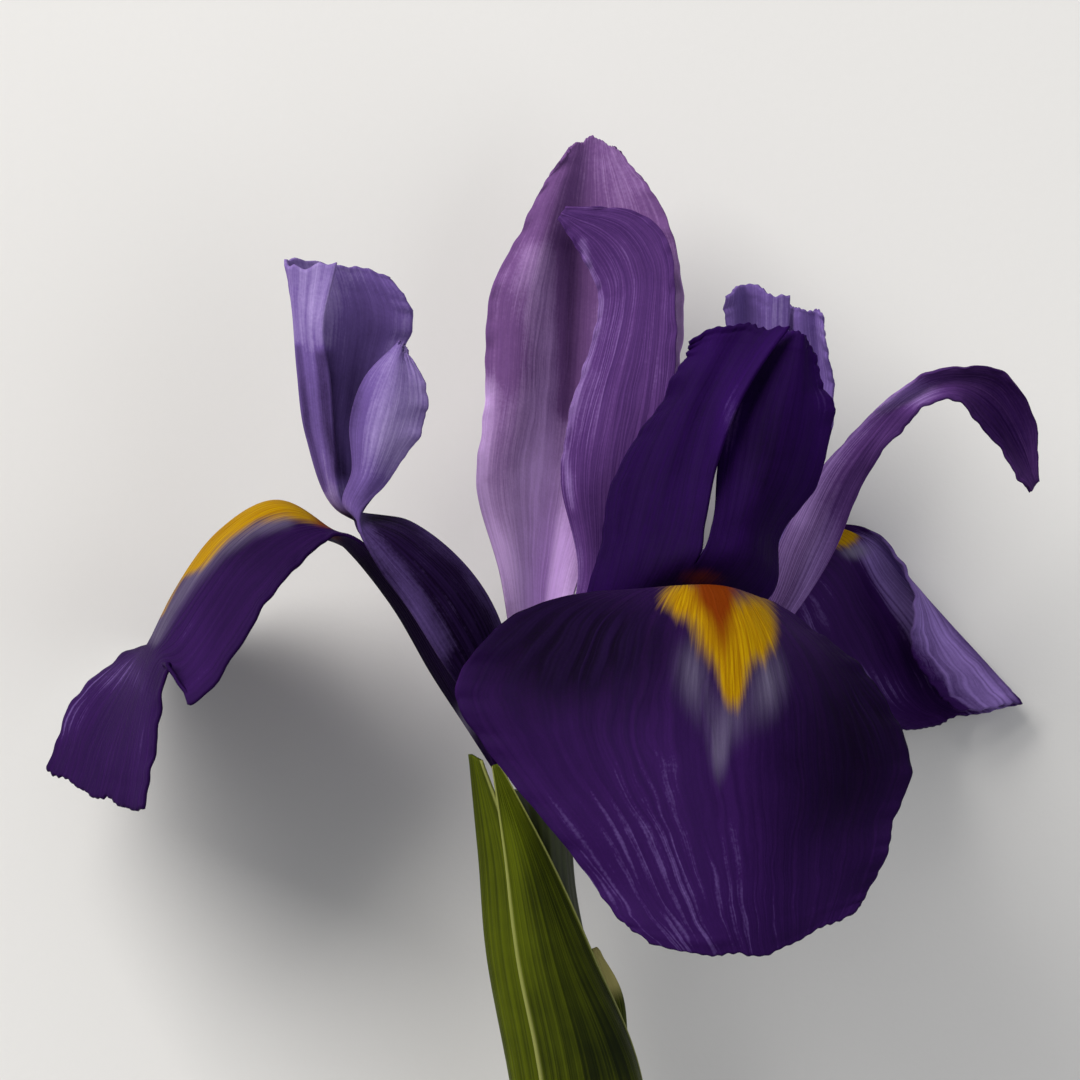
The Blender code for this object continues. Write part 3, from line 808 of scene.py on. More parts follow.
@dataclass
class Stalk(Piece):
    """A round stalk along a path, with a closed cut end."""

    path: tuple[Point, ...] = ()
    radii: tuple[float, ...] = ()
    rings: int = 120
    sides: int = 64
    groove: float = 0.05
    grooves: int = 11
    tone: float = 0.5
    dusty_from: float = 2.0

    def surface(self) -> np.ndarray:
        """Rings of points round the path, in the flower's frame."""
        where = np.linspace(0.0, 1.0, self.rings + 1)
        centres = along_spline(np.array(self.path), where)
        widths = along_spline(np.array(self.radii)[:, None], where)[:, 0]
        ahead = unit(np.gradient(centres, axis=0))
        out = unit(np.cross(ahead, np.array((0.0, 0.0, 1.0)) + 0.001))
        up = np.cross(out, ahead)
        angle = np.linspace(0.0, 2.0 * math.pi, self.sides + 1)
        hollow = self.groove * (0.5 + 0.5 * np.cos(self.grooves * angle))
        reach = (widths[:, None] * (1.0 - hollow / np.maximum(widths[:, None], 0.4)))[..., None]
        turned = np.cos(angle)[:, None] * out[:, None, :] + np.sin(angle)[:, None] * up[:, None, :]
        return centres[:, None, :] + reach * turned

    def build(self) -> bpy.types.Object:
        """Build the stalk.

        Returns:
            The finished piece.
        """
        points = self.surface()
        length = np.linspace(0.0, 1.0, self.rings + 1)[:, None]
        dust = rise(length, self.dusty_from - 0.02, self.dusty_from + 0.02)
        paint = {
            Layer.TONE: np.full(points.shape[:2], self.tone),
            Layer.YELLOW: np.repeat(dust, self.sides + 1, axis=1),
        }
        mesh = bmesh.new()
        self._grid(mesh, points, paint)
        bmesh.ops.remove_doubles(mesh, verts=mesh.verts, dist=WELD)
        self._close(mesh)
        bmesh.ops.recalc_face_normals(mesh, faces=mesh.faces)
        return self._finish(mesh)

    def _close(self, mesh: bmesh.types.BMesh) -> None:
        """Close both ends with a rim, a slightly sunken cut face and its paint."""
        white = mesh.verts.layers.float[Layer.WHITE.value]
        open_edges = [edge for edge in mesh.edges if edge.is_boundary]
        for face in bmesh.ops.holes_fill(mesh, edges=open_edges, sides=0)["faces"]:
            across = max(edge.calc_length() for edge in face.edges) * self.sides / math.pi
            rim, step, sink = across * 0.06, across * 0.05, -across * 0.02
            inner = bmesh.ops.inset_region(mesh, faces=[face], thickness=rim, depth=0.0)["faces"]
            core = bmesh.ops.inset_region(mesh, faces=[face], thickness=step, depth=sink)["faces"]
            for ring in core:
                ring.smooth = False
            for vert in face.verts:
                vert[white] = 1.0
            for ring in inner:
                ring.smooth = True


@dataclass(frozen=True)
class Light:
    """A soft studio light: its place in the flower's frame, its side in metres and its power in watts."""

    name: str
    place: Point
    size: float
    power: float
    colour: Colour

    def shine(self, lie: Lie, target: Vector) -> None:
        """Set the light up, turned to a target."""
        data = bpy.data.lights.new(self.name, "AREA")
        data.size = self.size
        data.energy = self.power
        data.color = self.colour
        lamp = bpy.data.objects.new(self.name, data)
        lamp.location = lie.spot(*self.place)
        lamp.rotation_mode = "QUATERNION"
        lamp.rotation_quaternion = (target - lamp.location).to_track_quat("-Z", "Y")
        lamp.visible_camera = False
        bpy.context.scene.collection.objects.link(lamp)


@dataclass
class Studio:
    """Pale floor, soft light and the camera.

    Attributes:
        lie: How the flower lies.
        reach: Distance of the camera from the flower, in metres.
        frame_width: Width of the view at the flower, in mm.
        look_x: Middle of the view in the flower's frame, in mm.
        look_y: The same, up the flower.
        lights: The lights.
        surround: Colour of the surround.
        surround_strength: Its strength.
        aim: Where the lights shine, in the flower's frame.
        sensor: Width of the camera's sensor in mm.
        floor_gap: How far the floor lies under the flower's lowest point, in metres.
    """

    lie: Lie
    reach: float = 1.2
    frame_width: float = 129.6
    look_x: float = -0.6
    look_y: float = 30.0
    lights: tuple[Light, ...] = (
        Light("key", (-900.0, 1030.0, 860.0), 1.2, 36.0, (1.0, 0.98, 0.95)),
        Light("fill", (1040.0, -240.0, 1000.0), 1.4, 6.5, (0.95, 0.97, 1.0)),
    )
    surround: Colour = (0.93, 0.95, 1.0)
    surround_strength: float = 0.32
    aim: Point = (0.0, 25.0, 15.0)
    sensor: float = 36.0
    floor_gap: float = 0.0003

    def floor(self) -> None:
        """Lay the floor at the height of the flower's lowest point."""
        mesh = bmesh.new()
        bmesh.ops.create_grid(mesh, x_segments=8, y_segments=8, size=3.0)
        data = bpy.data.meshes.new("studio_floor")
        mesh.to_mesh(data)
        mesh.free()
        data.materials.append(PaperFinish().build())
        floor = bpy.data.objects.new("studio_floor", data)
        floor.location.z = CAD_BOX[0].z - self.floor_gap
        bpy.context.scene.collection.objects.link(floor)

    def light(self) -> None:
        """Set up a large key light, a fill and a pale surround."""
        for light in self.lights:
            light.shine(self.lie, self.lie.spot(*self.aim))
        world = bpy.data.worlds.new("studio_surround")
        world.use_nodes = True
        surround = world.node_tree.nodes["Background"]
        surround.inputs["Color"].default_value = (*self.surround, 1.0)
        surround.inputs["Strength"].default_value = self.surround_strength
        bpy.context.scene.world = world

    def camera(self) -> None:
        """Look straight at the flower's face from a long way off."""
        data = bpy.data.cameras.new("camera")
        data.sensor_width = self.sensor
        data.lens = self.sensor * self.reach / (self.frame_width * MM)
        camera = bpy.data.objects.new("camera", data)
        bpy.context.scene.collection.objects.link(camera)
        place = self.lie.spot(self.look_x, self.look_y, self.reach / MM)
        camera.matrix_world = Matrix.Translation(place) @ self.lie.turn.to_4x4()
        data.clip_start = 0.05
        data.clip_end = 20.0
        bpy.context.scene.camera = camera
        bpy.context.scene.view_settings.view_transform = "Standard"

    def build(self) -> None:
        """Build the studio."""
        self.floor()
        self.light()
        self.camera()


# ---- guide rails, in mm from the heart

FALL_FRONT: Panel = (
    ((0.2, 0.5, 5), (4, 9, 12), (9, 18, 19.5), (8, 23.7, 26.5), (-3.6, 21.2, 30), (-10.4, 13.4, 32),
     (-6.8, 5.6, 34), (1.4, -4.4, 38), (7.2, -12.4, 41.5), (12.4, -17, 44)),
    ((2, 0.5, 4.4), (7, 8.5, 10.5), (13, 17.5, 17.5), (19, 24.5, 26), (21, 20.5, 33), (21.5, 12, 38),
     (21.5, 3, 42), (22.5, -5, 44.5), (23.5, -12, 45.5), (24.5, -18, 45)),
    ((3.8, 0.5, 3.3), (10, 9, 7), (16, 18, 15), (24.5, 23, 22.5), (32, 19, 22), (38.8, 12.5, 24),
     (43.2, 3, 27), (40.2, -4.4, 31.5), (38.4, -9.4, 35), (36, -13.2, 38.5)),
)
FALL_LEFT: Panel = (
    ((-4.8, 0.5, 1.6), (-8.2, 8.4, 3.6), (-12, 16, 5), (-16.8, 24, 5.6), (-23.6, 30.6, 5.6),
     (-28.8, 27.4, 11), (-34.6, 21, 15), (-41.6, 10, 16.5), (-44.8, 15.6, 12.5), (-46.2, 7, 12),
     (-47.2, -2.4, 12)),
    ((-4.8, 0.5, -0.4), (-9.2, 7.4, 0), (-13.5, 14, 0), (-18.5, 22.5, 0), (-25, 30.3, 0), (-32, 34.6, 0),
     (-39, 31, -1), (-44.5, 23.5, -2), (-48.5, 14.5, -2), (-52, 5.5, 0), (-53.6, -0.8, 3)),
    ((-4.5, 0.5, -2.4), (-8.4, 7.8, -3.4), (-12.6, 15, -4.4), (-17.6, 23.2, -5.4), (-24.5, 29.5, -8),
     (-31, 30, -14.5), (-37, 25, -22), (-43.5, 18, -27.5), (-51, 15.8, -23), (-57.4, 10.2, -14),
     (-60.4, 2.6, -7)),
)
FALL_RIGHT: Panel = (
    ((4.3, 0.5, -2.4), (10, 8, -6.5), (17, 15.5, -10), (24.5, 21, -12), (29, 20, -13), (32.5, 14, -14),
     (36.5, 10, -15.5), (40.5, 8, -18), (44.5, 7, -22)),
    ((3.6, 0.5, -3.2), (8, 7.8, -9), (15.5, 16.5, -14), (24.5, 25, -18), (33, 27, -20.5), (38, 20.5, -22.5),
     (41, 14, -24.5), (44, 9.5, -26.5), (48, 7.4, -27.5)),
    ((2.8, 0.5, -3.9), (6.6, 8, -10.4), (13.6, 17.3, -16.6), (24, 26.6, -20.8), (36, 31, -26.6),
     (41, 24.4, -30.2), (46, 17.6, -31), (49, 11.6, -31), (53, 8.6, -31)),
    ((2, 0.5, -4.5), (5.4, 8.4, -11.6), (12, 18, -18.6), (23.2, 28, -23.6), (37.6, 30.4, -29.4),
     (44.8, 24.8, -32), (51.4, 17.9, -32.5), (55.8, 13, -31.5), (58.8, 9.9, -30)),
    ((1, 0.5, -4.9), (4, 9, -12), (10.5, 18.5, -20), (22.8, 29.6, -24.6), (38.2, 31.8, -29.6),
     (45.2, 24.8, -27.6), (44.8, 17.2, -26.5), (47, 12.8, -25.5), (50.8, 9.2, -25.5)),
)
STANDARD_BACK: Panel = (
    ((-3.3, 0.5, -3.1), (-3.5, 12, -6), (-5.2, 25, -9), (-8.4, 37, -12), (-7.2, 48, -14.5), (-6.8, 59, -16.5),
     (-2.5, 69, -18.5), (2.2, 77, -19.8)),
    ((-2.8, 0.5, -3.6), (-2.6, 12, -7.2), (-3.2, 25, -10.2), (-4.4, 37, -12.2), (-3, 48, -14.2),
     (-2, 59, -16.2), (0.8, 69.5, -18.2), (3.6, 78.3, -20.5)),
    ((-1.9, 0.5, -4.1), (-1.2, 12, -9.6), (0.3, 25, -15), (2.2, 37, -18.5), (3.4, 48, -20.5), (4, 59, -21.5),
     (4.6, 70, -21.5), (5.4, 79.2, -21.4)),
    ((-1, 0.5, -4.4), (0.2, 12, -8.8), (2.6, 25, -12.5), (6.5, 37, -14.5), (9.5, 48, -16), (10.5, 59, -17.5),
     (9.5, 70, -19.5), (7.2, 78.7, -21)),
    ((-0.3, 0.5, -4.5), (1, 12, -8.4), (4, 25, -12), (9.5, 37, -13.5), (15.5, 48, -14), (17, 59, -15.5),
     (14.5, 70, -18), (8.8, 77.4, -20.3)),
)
STANDARD_LEFT: Panel = (
    ((-3.4, 0.5, 3), (-0.2, 12, 1), (4, 25, -2), (2, 36.5, -5), (2.5, 43, -6.5), (5, 51.5, -8),
     (6.5, 59, -9.5), (4.5, 64, -10.5), (1.6, 69, -11)),
    ((-2.4, 0.5, 3.8), (0.6, 12, 1.8), (6.2, 25, -0.5), (6.6, 37, -2.5), (8, 46, -4), (10.2, 55, -6.5),
     (10.8, 62, -9), (8, 67, -10.5), (2, 69.6, -11.3)),
    ((-1.3, 0.5, 4.3), (1.2, 12, 3), (8.8, 25, 1.5), (13, 37, -1), (15.2, 47, -3), (15.8, 57, -6),
     (15.4, 65, -9), (11, 69.8, -10.8), (2.5, 70.3, -11.7)),
)
STANDARD_RIGHT: Panel = (
    ((4.2, 0.5, -1.3), (10, 7, -0.6), (18, 14, -0.4), (25.5, 21.5, -1), (28.5, 30, -1.5), (33, 38.2, -1.5),
     (38, 44, -0.5), (44, 49, 0), (50, 50.7, 0), (55.5, 50, 0), (58.8, 44, 0), (59, 37, 0)),
    ((4.6, 0.5, 0.4), (12, 6.4, 1.6), (20.5, 12.8, 2.6), (28, 21, 2.8), (31.8, 29, 2.4), (35.6, 37.3, 1.8),
     (39.8, 43, 0.2), (44.2, 47.2, -1.5), (49.5, 48.8, -1.5), (54.1, 46.8, -1.5), (57.4, 41.2, -1),
     (58.7, 36.5, 0.5)),
    ((4.3, 0.5, 1.9), (13, 6, 2.5), (22, 12, 3), (29.5, 20.8, 2.4), (34.5, 28.5, 1), (37.8, 36.3, 0.5),
     (41.2, 41.6, 1.6), (44.5, 45.3, 2.5), (49, 46.8, 2.5), (52.7, 43.5, 2.5), (56, 38.5, 2.5),
     (58.4, 35.9, 1.5)),
)
# Each style arm ends in two crests: two panels that share their inner rail as far as the lip.
FRONT_LIP: Rail = ((0.9, 0.5, 2), (4.2, 9.6, 6.6), (9.8, 18.6, 13), (17.5, 27, 22.5))
STYLE_FRONT: tuple[Panel, ...] = (
    (
        ((0.1, 0.5, 2.5), (2.2, 9.5, 8.2), (4, 18, 12.5), (5, 23.5, 15), (6.6, 29.5, 14), (8.2, 37, 12),
         (12, 43.5, 11), (16.5, 51, 12), (17.6, 54.2, 12.5)),
        ((0.4, 0.5, 2.35), (2.9, 9.6, 7.7), (6.2, 18.4, 12.9), (9.6, 24.8, 18.6), (11.2, 30.8, 18.4),
         (13.2, 38, 16.5), (16, 45, 15.2), (19.4, 51.2, 14.6), (21.4, 55.2, 14.4)),
        ((0.65, 0.5, 2.2), (3.6, 9.6, 7.2), (8.1, 18.6, 13.1), (13.6, 26.2, 21.2), (15.8, 31.6, 20),
         (17.2, 38.3, 17.6), (19.2, 45.2, 15.8), (22.4, 51.3, 14.8), (25.2, 55.6, 14.6)),
        (*FRONT_LIP, (18.8, 32, 21.8), (20.1, 38.5, 20), (22.5, 45.5, 18.8), (25.8, 51.2, 17.8),
         (28.8, 55.2, 17.2)),
    ),
    (
        (*FRONT_LIP, (19.7, 32, 21), (20.4, 38.5, 17), (21.4, 45.5, 14.6), (24.2, 51, 13.8),
         (27.2, 54.8, 13.6)),
        ((1.4, 0.5, 1.8), (6, 9.5, 5.8), (12.8, 18.2, 12), (22.5, 26.5, 21.5), (24.5, 32, 20),
         (27, 38.5, 18.2), (28.6, 45, 17.2), (29.8, 50.5, 16.6), (30.4, 54.6, 16.2)),
        ((1.9, 0.5, 1.5), (7.5, 9.5, 5), (15.5, 17.5, 11), (26.4, 23.2, 17.5), (27.8, 30.5, 16),
         (32.3, 37, 14.4), (34.2, 44.5, 14), (32.4, 49.6, 14.5), (31.4, 53.4, 15.2)),
    ),
)
LEFT_LIP: Rail = ((-2.2, 0.5, -0.2), (-3.8, 10, 0), (-5.2, 19.3, 0), (-9.4, 26.6, 0), (-16.2, 32.1, 0),
                  (-23.8, 33.8, 0.4))
STYLE_LEFT: tuple[Panel, ...] = (
    (
        ((-2.4, 0.5, -1.5), (-6.5, 8.5, -4), (-11, 15.5, -5.5), (-15, 22, -6.5), (-19.5, 27.8, -6.5),
         (-22.8, 32.4, -5), (-21.5, 41, -7), (-18.5, 49, -8), (-15.8, 56.4, -7.5), (-19, 62.2, -6)),
        ((-2.35, 0.5, -1.05), (-5.4, 9, -2.6), (-8.4, 17.4, -3.8), (-12.4, 24.8, -4.4), (-17.8, 30.4, -4.4),
         (-23.2, 33, -3.6), (-24.4, 41.6, -5.5), (-23.4, 49.6, -6.5), (-22.4, 57, -6.4), (-23.8, 62.8, -5)),
        ((-2.3, 0.5, -0.6), (-4.4, 9.6, -1.3), (-6.2, 18.6, -2), (-10.2, 26.2, -2.3), (-16.8, 31.7, -2.3),
         (-25, 33.8, -1.6), (-28.5, 42.4, -0.4), (-29.5, 50.4, 0.6), (-29.9, 57.5, 1.2), (-30.9, 63.8, 2)),
        (*LEFT_LIP, (-25.2, 41.5, 3.2), (-25.8, 49, 4.4), (-26.6, 55.5, 5), (-25, 63, 4.6)),
    ),
    (
        (*LEFT_LIP, (-23, 38.6, 3), (-23.3, 44.2, 4.2), (-21.6, 49.4, 4.6), (-17.8, 53.5, 3.8)),
        ((-2.3, 0.5, 0.5), (-4.8, 9.2, 2.2), (-7.4, 17.2, 4.2), (-11.6, 24.2, 5.2), (-17.4, 29.8, 5),
         (-22.8, 33, 3.2), (-20.8, 38, 4.8), (-19.2, 43.4, 5.8), (-18, 47.9, 5.6), (-17.1, 53.3, 3.9)),
        ((-2.4, 0.5, 1.2), (-7, 7.8, 4.6), (-12, 15.1, 7.2), (-16.2, 21.8, 8.4), (-20.2, 27.4, 8),
         (-22.2, 32.6, 4.8), (-18.6, 37.2, 3.6), (-15.2, 42.6, 3.2), (-14.2, 47, 3.2), (-16.5, 52.9, 3.6)),
    ),
)
RIGHT_LIP: Rail = ((1.3, 0.5, -1.8), (5.2, 9.4, -5.2), (11.5, 18.6, -9), (19.2, 27.2, -13), (28.6, 31.4, -18))
STYLE_RIGHT: tuple[Panel, ...] = (
    (
        ((0.3, 0.5, -2.5), (3.2, 9.5, -6.5), (8.5, 19, -11), (15.5, 27, -15.5), (25.5, 31, -19),
         (23.6, 39, -17), (22.6, 47, -15.5), (22, 54.5, -14.5), (21.4, 60, -14)),
        ((0.8, 0.5, -2.2), (4.2, 9.5, -6), (10, 19, -10), (17.2, 27.6, -14.4), (27, 31.4, -18.6),
         (26, 39.5, -17.8), (25.4, 47.5, -16.8), (25.4, 55, -16.2), (25.2, 61, -15.6)),
        (*RIGHT_LIP, (28.2, 39.5, -17.2), (28.8, 47.5, -15.8), (29.4, 54.5, -15), (29.6, 59.6, -14.6)),
    ),
    (
        (*RIGHT_LIP, (29.1, 39.5, -18.6), (28.4, 47.5, -18), (28.4, 54, -17.2), (28.8, 58.4, -16.6)),
        ((1.8, 0.5, -1.5), (6.2, 9.2, -4.4), (12.8, 18, -7.8), (21, 26.2, -11.8), (30, 30.6, -17),
         (31.4, 39, -17.6), (31.8, 46.5, -17), (31.8, 53, -16.2), (31.4, 58.2, -15.6)),
        ((2.3, 0.5, -1.1), (7.2, 9, -3.6), (14, 17.4, -6.8), (22.4, 25, -10.8), (31, 29.6, -16),
         (33.6, 38.4, -16), (35.3, 45.4, -15.4), (34.6, 52, -15), (33.7, 57.4, -15)),
    ),
)
SPATHE_OUTER: Panel = (
    ((4.6, -92, 3), (2.6, -75, 4.6), (1, -55, 5.4), (-0.6, -35, 5.2), (-3.4, -20, 4.8), (-4.8, -8, 4.6),
     (-6.2, 3, 4.7)),
    ((9.3, -92, 5.7), (7.8, -75, 6.4), (6.2, -55, 6.9), (4.2, -35, 6.9), (0.6, -20, 6.3), (-2.3, -8, 5.6),
     (-5.9, 3.2, 4.9)),
    ((15, -92, 0.4), (13.6, -75, 1.5), (12.7, -55, 2.6), (10.4, -35, 4.2), (4, -20, 5.2), (-0.6, -8.2, 5.4),
     (-5.6, 3.2, 5)),
    ((10.6, -92, -5.6), (11.6, -75, -4.6), (12.8, -55, -2.4), (11.6, -35, 0), (5.9, -20, 3.6), (0.7, -8.4, 5),
     (-5.4, 3.1, 5.1)),
)
SPATHE_INNER: Panel = (
    ((6, -88, 3.8), (5, -75, 4), (3, -55, 4.7), (1, -35, 4.6), (-1.8, -20, 3.9), (-3.4, -8, 2.9),
     (-7.6, 3.6, 1.6)),
    ((4.1, -88, 0), (2.2, -75, 0), (-0.6, -55, 0), (-4, -35, 0), (-6.8, -20, 0), (-7.8, -8, 0),
     (-8.9, 4.3, 0.2)),
    ((6.9, -88, -4.6), (6, -75, -5), (4.5, -55, -5.6), (1.8, -35, -5.8), (-2.6, -20, -5), (-5.4, -8, -3.8),
     (-8.9, 4, -1)),
    ((10.6, -88, -4.5), (11, -75, -3.8), (7.6, -55, -5.2), (7, -35, -5), (2, -20, -5.6), (-3.4, -8, -4.6),
     (-8.6, 3.5, -1.5)),
)
SPATHE_TIP: Panel = (
    ((8.8, -58, 4.2), (8.2, -46, 4.4), (7.6, -34, 3.4), (6.8, -25, 1.2), (5.7, -19, 0.4)),
    ((11.4, -58, 0), (10.7, -46, 0.2), (9.9, -34, 0), (9.2, -25, -0.6), (6.1, -18.9, -0.1)),
    ((9.2, -58, -3.9), (8.6, -46, -4.2), (8.6, -34, -3.4), (8.6, -25, -2.4), (6.5, -19.3, -0.7)),
)


# ---- the flower's own parts


def stock(finish: Finish, lie: Lie) -> tuple[str, Lie, bpy.types.Material]:
    """What the pieces of one finish share: their slot, how they lie and their material."""
    return finish.name, lie, finish.build()


@dataclass
class Falls:
    """The three hanging petals with their yellow signal patches."""

    lie: Lie
    rows: int = 170
    columns: int = 100
    finish: PetalFinish = PetalFinish(
        "fall_violet", (0.0025, 0.0002, 0.007), (0.025, 0.0055, 0.062), (0.28, 0.18, 0.50),
        vein_depth=0.20, streaks=0.14, fibres=0.13, mottling=0.18,
    )

    def build(self) -> list[bpy.types.Object]:
        """Build the falls."""
        violet = stock(self.finish, self.lie)
        shared = {
            "rows": self.rows,
            "columns": self.columns,
            "crimp": Waves(0.2, 19, 0.3, 0.3, 0.8, 2.6),
            "ribs": Waves(0.03, 9, 0, 0.3),
        }
        front = Sheet(
            "front_fall", "fall_front", *violet, (FALL_FRONT,), **shared,
            tone=0.46, ruffle=Waves(0.8, 3.5, 0.4, 0.4), fringe=0.5,
            # Painted shade darkens the top of the fall, where the standards shade it, and its right side;
            # painted light makes the lower blade and both margins paler.
            tone_and_painted_light=(
                Patch(3, 18, 13, 8, -0.5), Patch(37, 9, 8, 14, -0.4), Patch(30, 0, 7, 8, -0.12),
                Patch(16, -15, 22, 8, 0.09), Patch(8, -6, 16, 10, 0.10), Patch(-10.5, 15, 2, 5, 0.14),
                Patch(40.5, -6, 3, 6, 0.1),
            ),
            yellows=(
                Patch(15.8, 23, 3.2, 2.6, 0.7), Patch(20.5, 19.5, 3.4, 5, 0.9),
                Patch(25.2, 19.6, 2.4, 4.4, 0.75), Patch(21.8, 13, 1.7, 3.8, 0.7),
            ),
            oranges=(Patch(19.6, 24.2, 3, 3.4, 1), Patch(20.6, 19, 1.8, 4.5, 0.65)),
            whites=(
                Patch(17, 14.6, 2.6, 5, 0.46), Patch(26, 13.6, 2.6, 5, 0.56), Patch(21.2, 9, 3.2, 4, 0.42),
                Patch(20, 4.6, 1.1, 3.6, 0.5),
            ),
        )
        left = Sheet(
            "left_fall", "fall_left", *violet, (FALL_LEFT,), **shared,
            tone=0.38, ruffle=Waves(0.7, 4, 1.2, 0.4), fringe=0.6, signal_half=0.85,
            # Painted highlights run along the turned-back margins of the blade; painted shade darkens the
            # haft under the style arm and a strip under the arch.
            tone_and_painted_light=(
                Band(((-50, 14), (-55, 12.6), (-58, 8)), 2.2, 0.24), Patch(-41.5, 16, 2.4, 5, 0.14),
                Band(((-47.5, 12), (-48, 4), (-48.2, -1)), 1.2, 0.14), Patch(-14, 18, 9, 12, -0.36),
                Patch(-36, 29, 6, 2.5, -0.12), Band(((-5, 6), (-12, 15.5), (-20, 27)), 2.5, -0.3),
                Patch(-50, 6, 5, 6, 0.08),
            ),
            yellows=(
                Band(((-26, 33.4), (-31, 34.6), (-35, 34), (-39, 31.6), (-42, 28.6)), 2.4, 0.95),
                Band(((-42, 28.6), (-44.4, 25.6), (-46.4, 21.8)), 1.3, 0.8),
                Band(((-46.4, 21.8), (-47.8, 18.6)), 0.6, 0.6),
            ),
            oranges=(Patch(-25.6, 32.2, 2.6, 2.4, 1),),
            whites=(
                Band(
                    ((-31, 32.2), (-35, 31.4), (-39, 28.8), (-42.4, 25.2), (-45, 21.6), (-46.6, 18.4)),
                    1.7,
                    0.5,
                ),
                Patch(-9.5, 8, 1.8, 3.2, 0.6),
            ),
        )
        right = Sheet(
            "right_fall", "fall_right", *violet, (FALL_RIGHT,), **shared,
            tone=0.42, ruffle=Waves(0.3, 3, 0.2, 0.4), fringe=0.5, signal_half=0.8,
            # A painted highlight runs along the folded-back margin, partly its paler underside; painted shade
            # darkens the crease beside it and the base of the fall, and painted light makes a few patches of
            # the blade paler.
            tone_and_painted_light=(
                Band(((41, 28), (45.6, 21.6), (50, 15.6), (55, 10.6)), 3.4, 0.6),
                Patch(40.5, 10.5, 4.5, 4.5, 0.24), Patch(33.5, 21, 2.6, 6, 0.14),
                Band(((38.6, 26), (41, 20), (42.4, 15)), 1.8, -0.2), Patch(10, 12, 9, 12, -0.2),
                Patch(31, 20, 3, 5, 0.1),
            ),
            yellows=(Patch(36.4, 30.8, 2.4, 2, 1),),
            whites=(Patch(38, 28.6, 2.2, 1.2, 0.8),),
        )
        return [sheet.build() for sheet in (front, left, right)]


@dataclass
class Standards:
    """The three upright petals."""

    lie: Lie
    rows: int = 160
    columns: int = 90
    # Only the back standard wears this paler finish: the standards' violet made paler for the light it
    # catches, painted light.
    pale: PetalFinish = PetalFinish(
        "standard_pale", (0.022, 0.005, 0.040), (0.15, 0.068, 0.205), (0.57, 0.37, 0.71),
        vein_depth=0.07, vein_colour=(0.10, 0.04, 0.18), vein_stain=0.15, streaks=0.2,
    )
    mid: PetalFinish = PetalFinish(
        "standard_mid", (0.008, 0.001, 0.020), (0.088, 0.034, 0.155), (0.38, 0.24, 0.57),
        vein_depth=0.16, vein_colour=(0.03, 0.008, 0.08), vein_stain=0.4,
    )

    def build(self) -> list[bpy.types.Object]:
        """Build the standards."""
        pale = stock(self.pale, self.lie)
        mid = stock(self.mid, self.lie)
        size = {"rows": self.rows, "columns": self.columns}
        back = Sheet(
            "back_standard", "standard_back", *pale, (STANDARD_BACK,), **size, tone=0.52, fringe=0.5,
            ruffle=Waves(0.6, 4, 0.8, 0.35), crimp=Waves(0.3, 15, 0.5, 0.35, 0.75),
            ribs=Waves(0.02, 7, 0, 0.3),
            # Painted light: a highlight along the rolled left margin, the left side of the groove and the
            # lower blade made paler, and a bright strip on the right margin; painted shade: a dark line in
            # the fold near the tip.
            tone_and_painted_light=(
                Band(((-7.4, 48), (-8.4, 37.2), (-7.2, 31), (-5, 24.6)), 1.5, 0.55),
                Band(((-0.6, 64), (-0.4, 50), (-1, 38)), 2.6, 0.2), Patch(-1.5, 25, 5, 17, 0.5),
                Patch(2, 25, 3, 15, 0.2), Band(((3, 66), (3.2, 56), (2.6, 46)), 1.5, -0.3),
                Patch(-3.5, 53, 3, 6, -0.12), Patch(16.2, 56, 1.6, 8, 0.30), Patch(8.5, 74, 4, 5, 0.08),
            ),
        )
        left = Sheet(
            "left_standard", "standard_left", *mid, (STANDARD_LEFT,), **size, tone=0.5,
            ruffle=Waves(0.4, 3, 2, 0.35), crimp=Waves(0.25, 16, 1.5, 0.35, 0.75),
            ribs=Waves(0.04, 6, 0, 0.15),
            # Painted light makes the turned left margin paler where it faces the light; painted shade darkens
            # the petal low down in the middle.
            tone_and_painted_light=(
                Patch(5, 50, 3, 12, 0.14),
                Band(((4.5, 66), (6.6, 58.8), (4.4, 50), (2.2, 42), (3.4, 34)), 0.6, 0.25),
                Patch(3.4, 28, 2, 5, 0.3), Patch(7, 32, 4, 8, -0.28), Patch(11, 44, 3, 8, -0.08),
            ),
        )
        right = Sheet(
            "right_standard", "standard_right", *mid, (STANDARD_RIGHT,), **size, tone=0.45,
            ruffle=Waves(0.3, 5, 0, 0.3), crimp=Waves(0.16, 19, 0.5, 0.3, 0.75),
            ribs=Waves(0.05, 5, 0, 0.1),
            # Painted highlights on the strap, along the pinched fold and on top of the curl; painted shade
            # inside the curl and in a line under its top.
            tone_and_painted_light=(
                Patch(30, 27, 5, 9, 0.36), Band(((31, 33), (36, 42), (40, 46.5)), 1.8, 0.26),
                Patch(55, 46, 6.5, 8, -0.36), Patch(42.5, 47.6, 5, 2, 0.55), Patch(43, 44.6, 3, 1.4, -0.16),
            ),
        )
        return [sheet.build() for sheet in (back, left, right)]


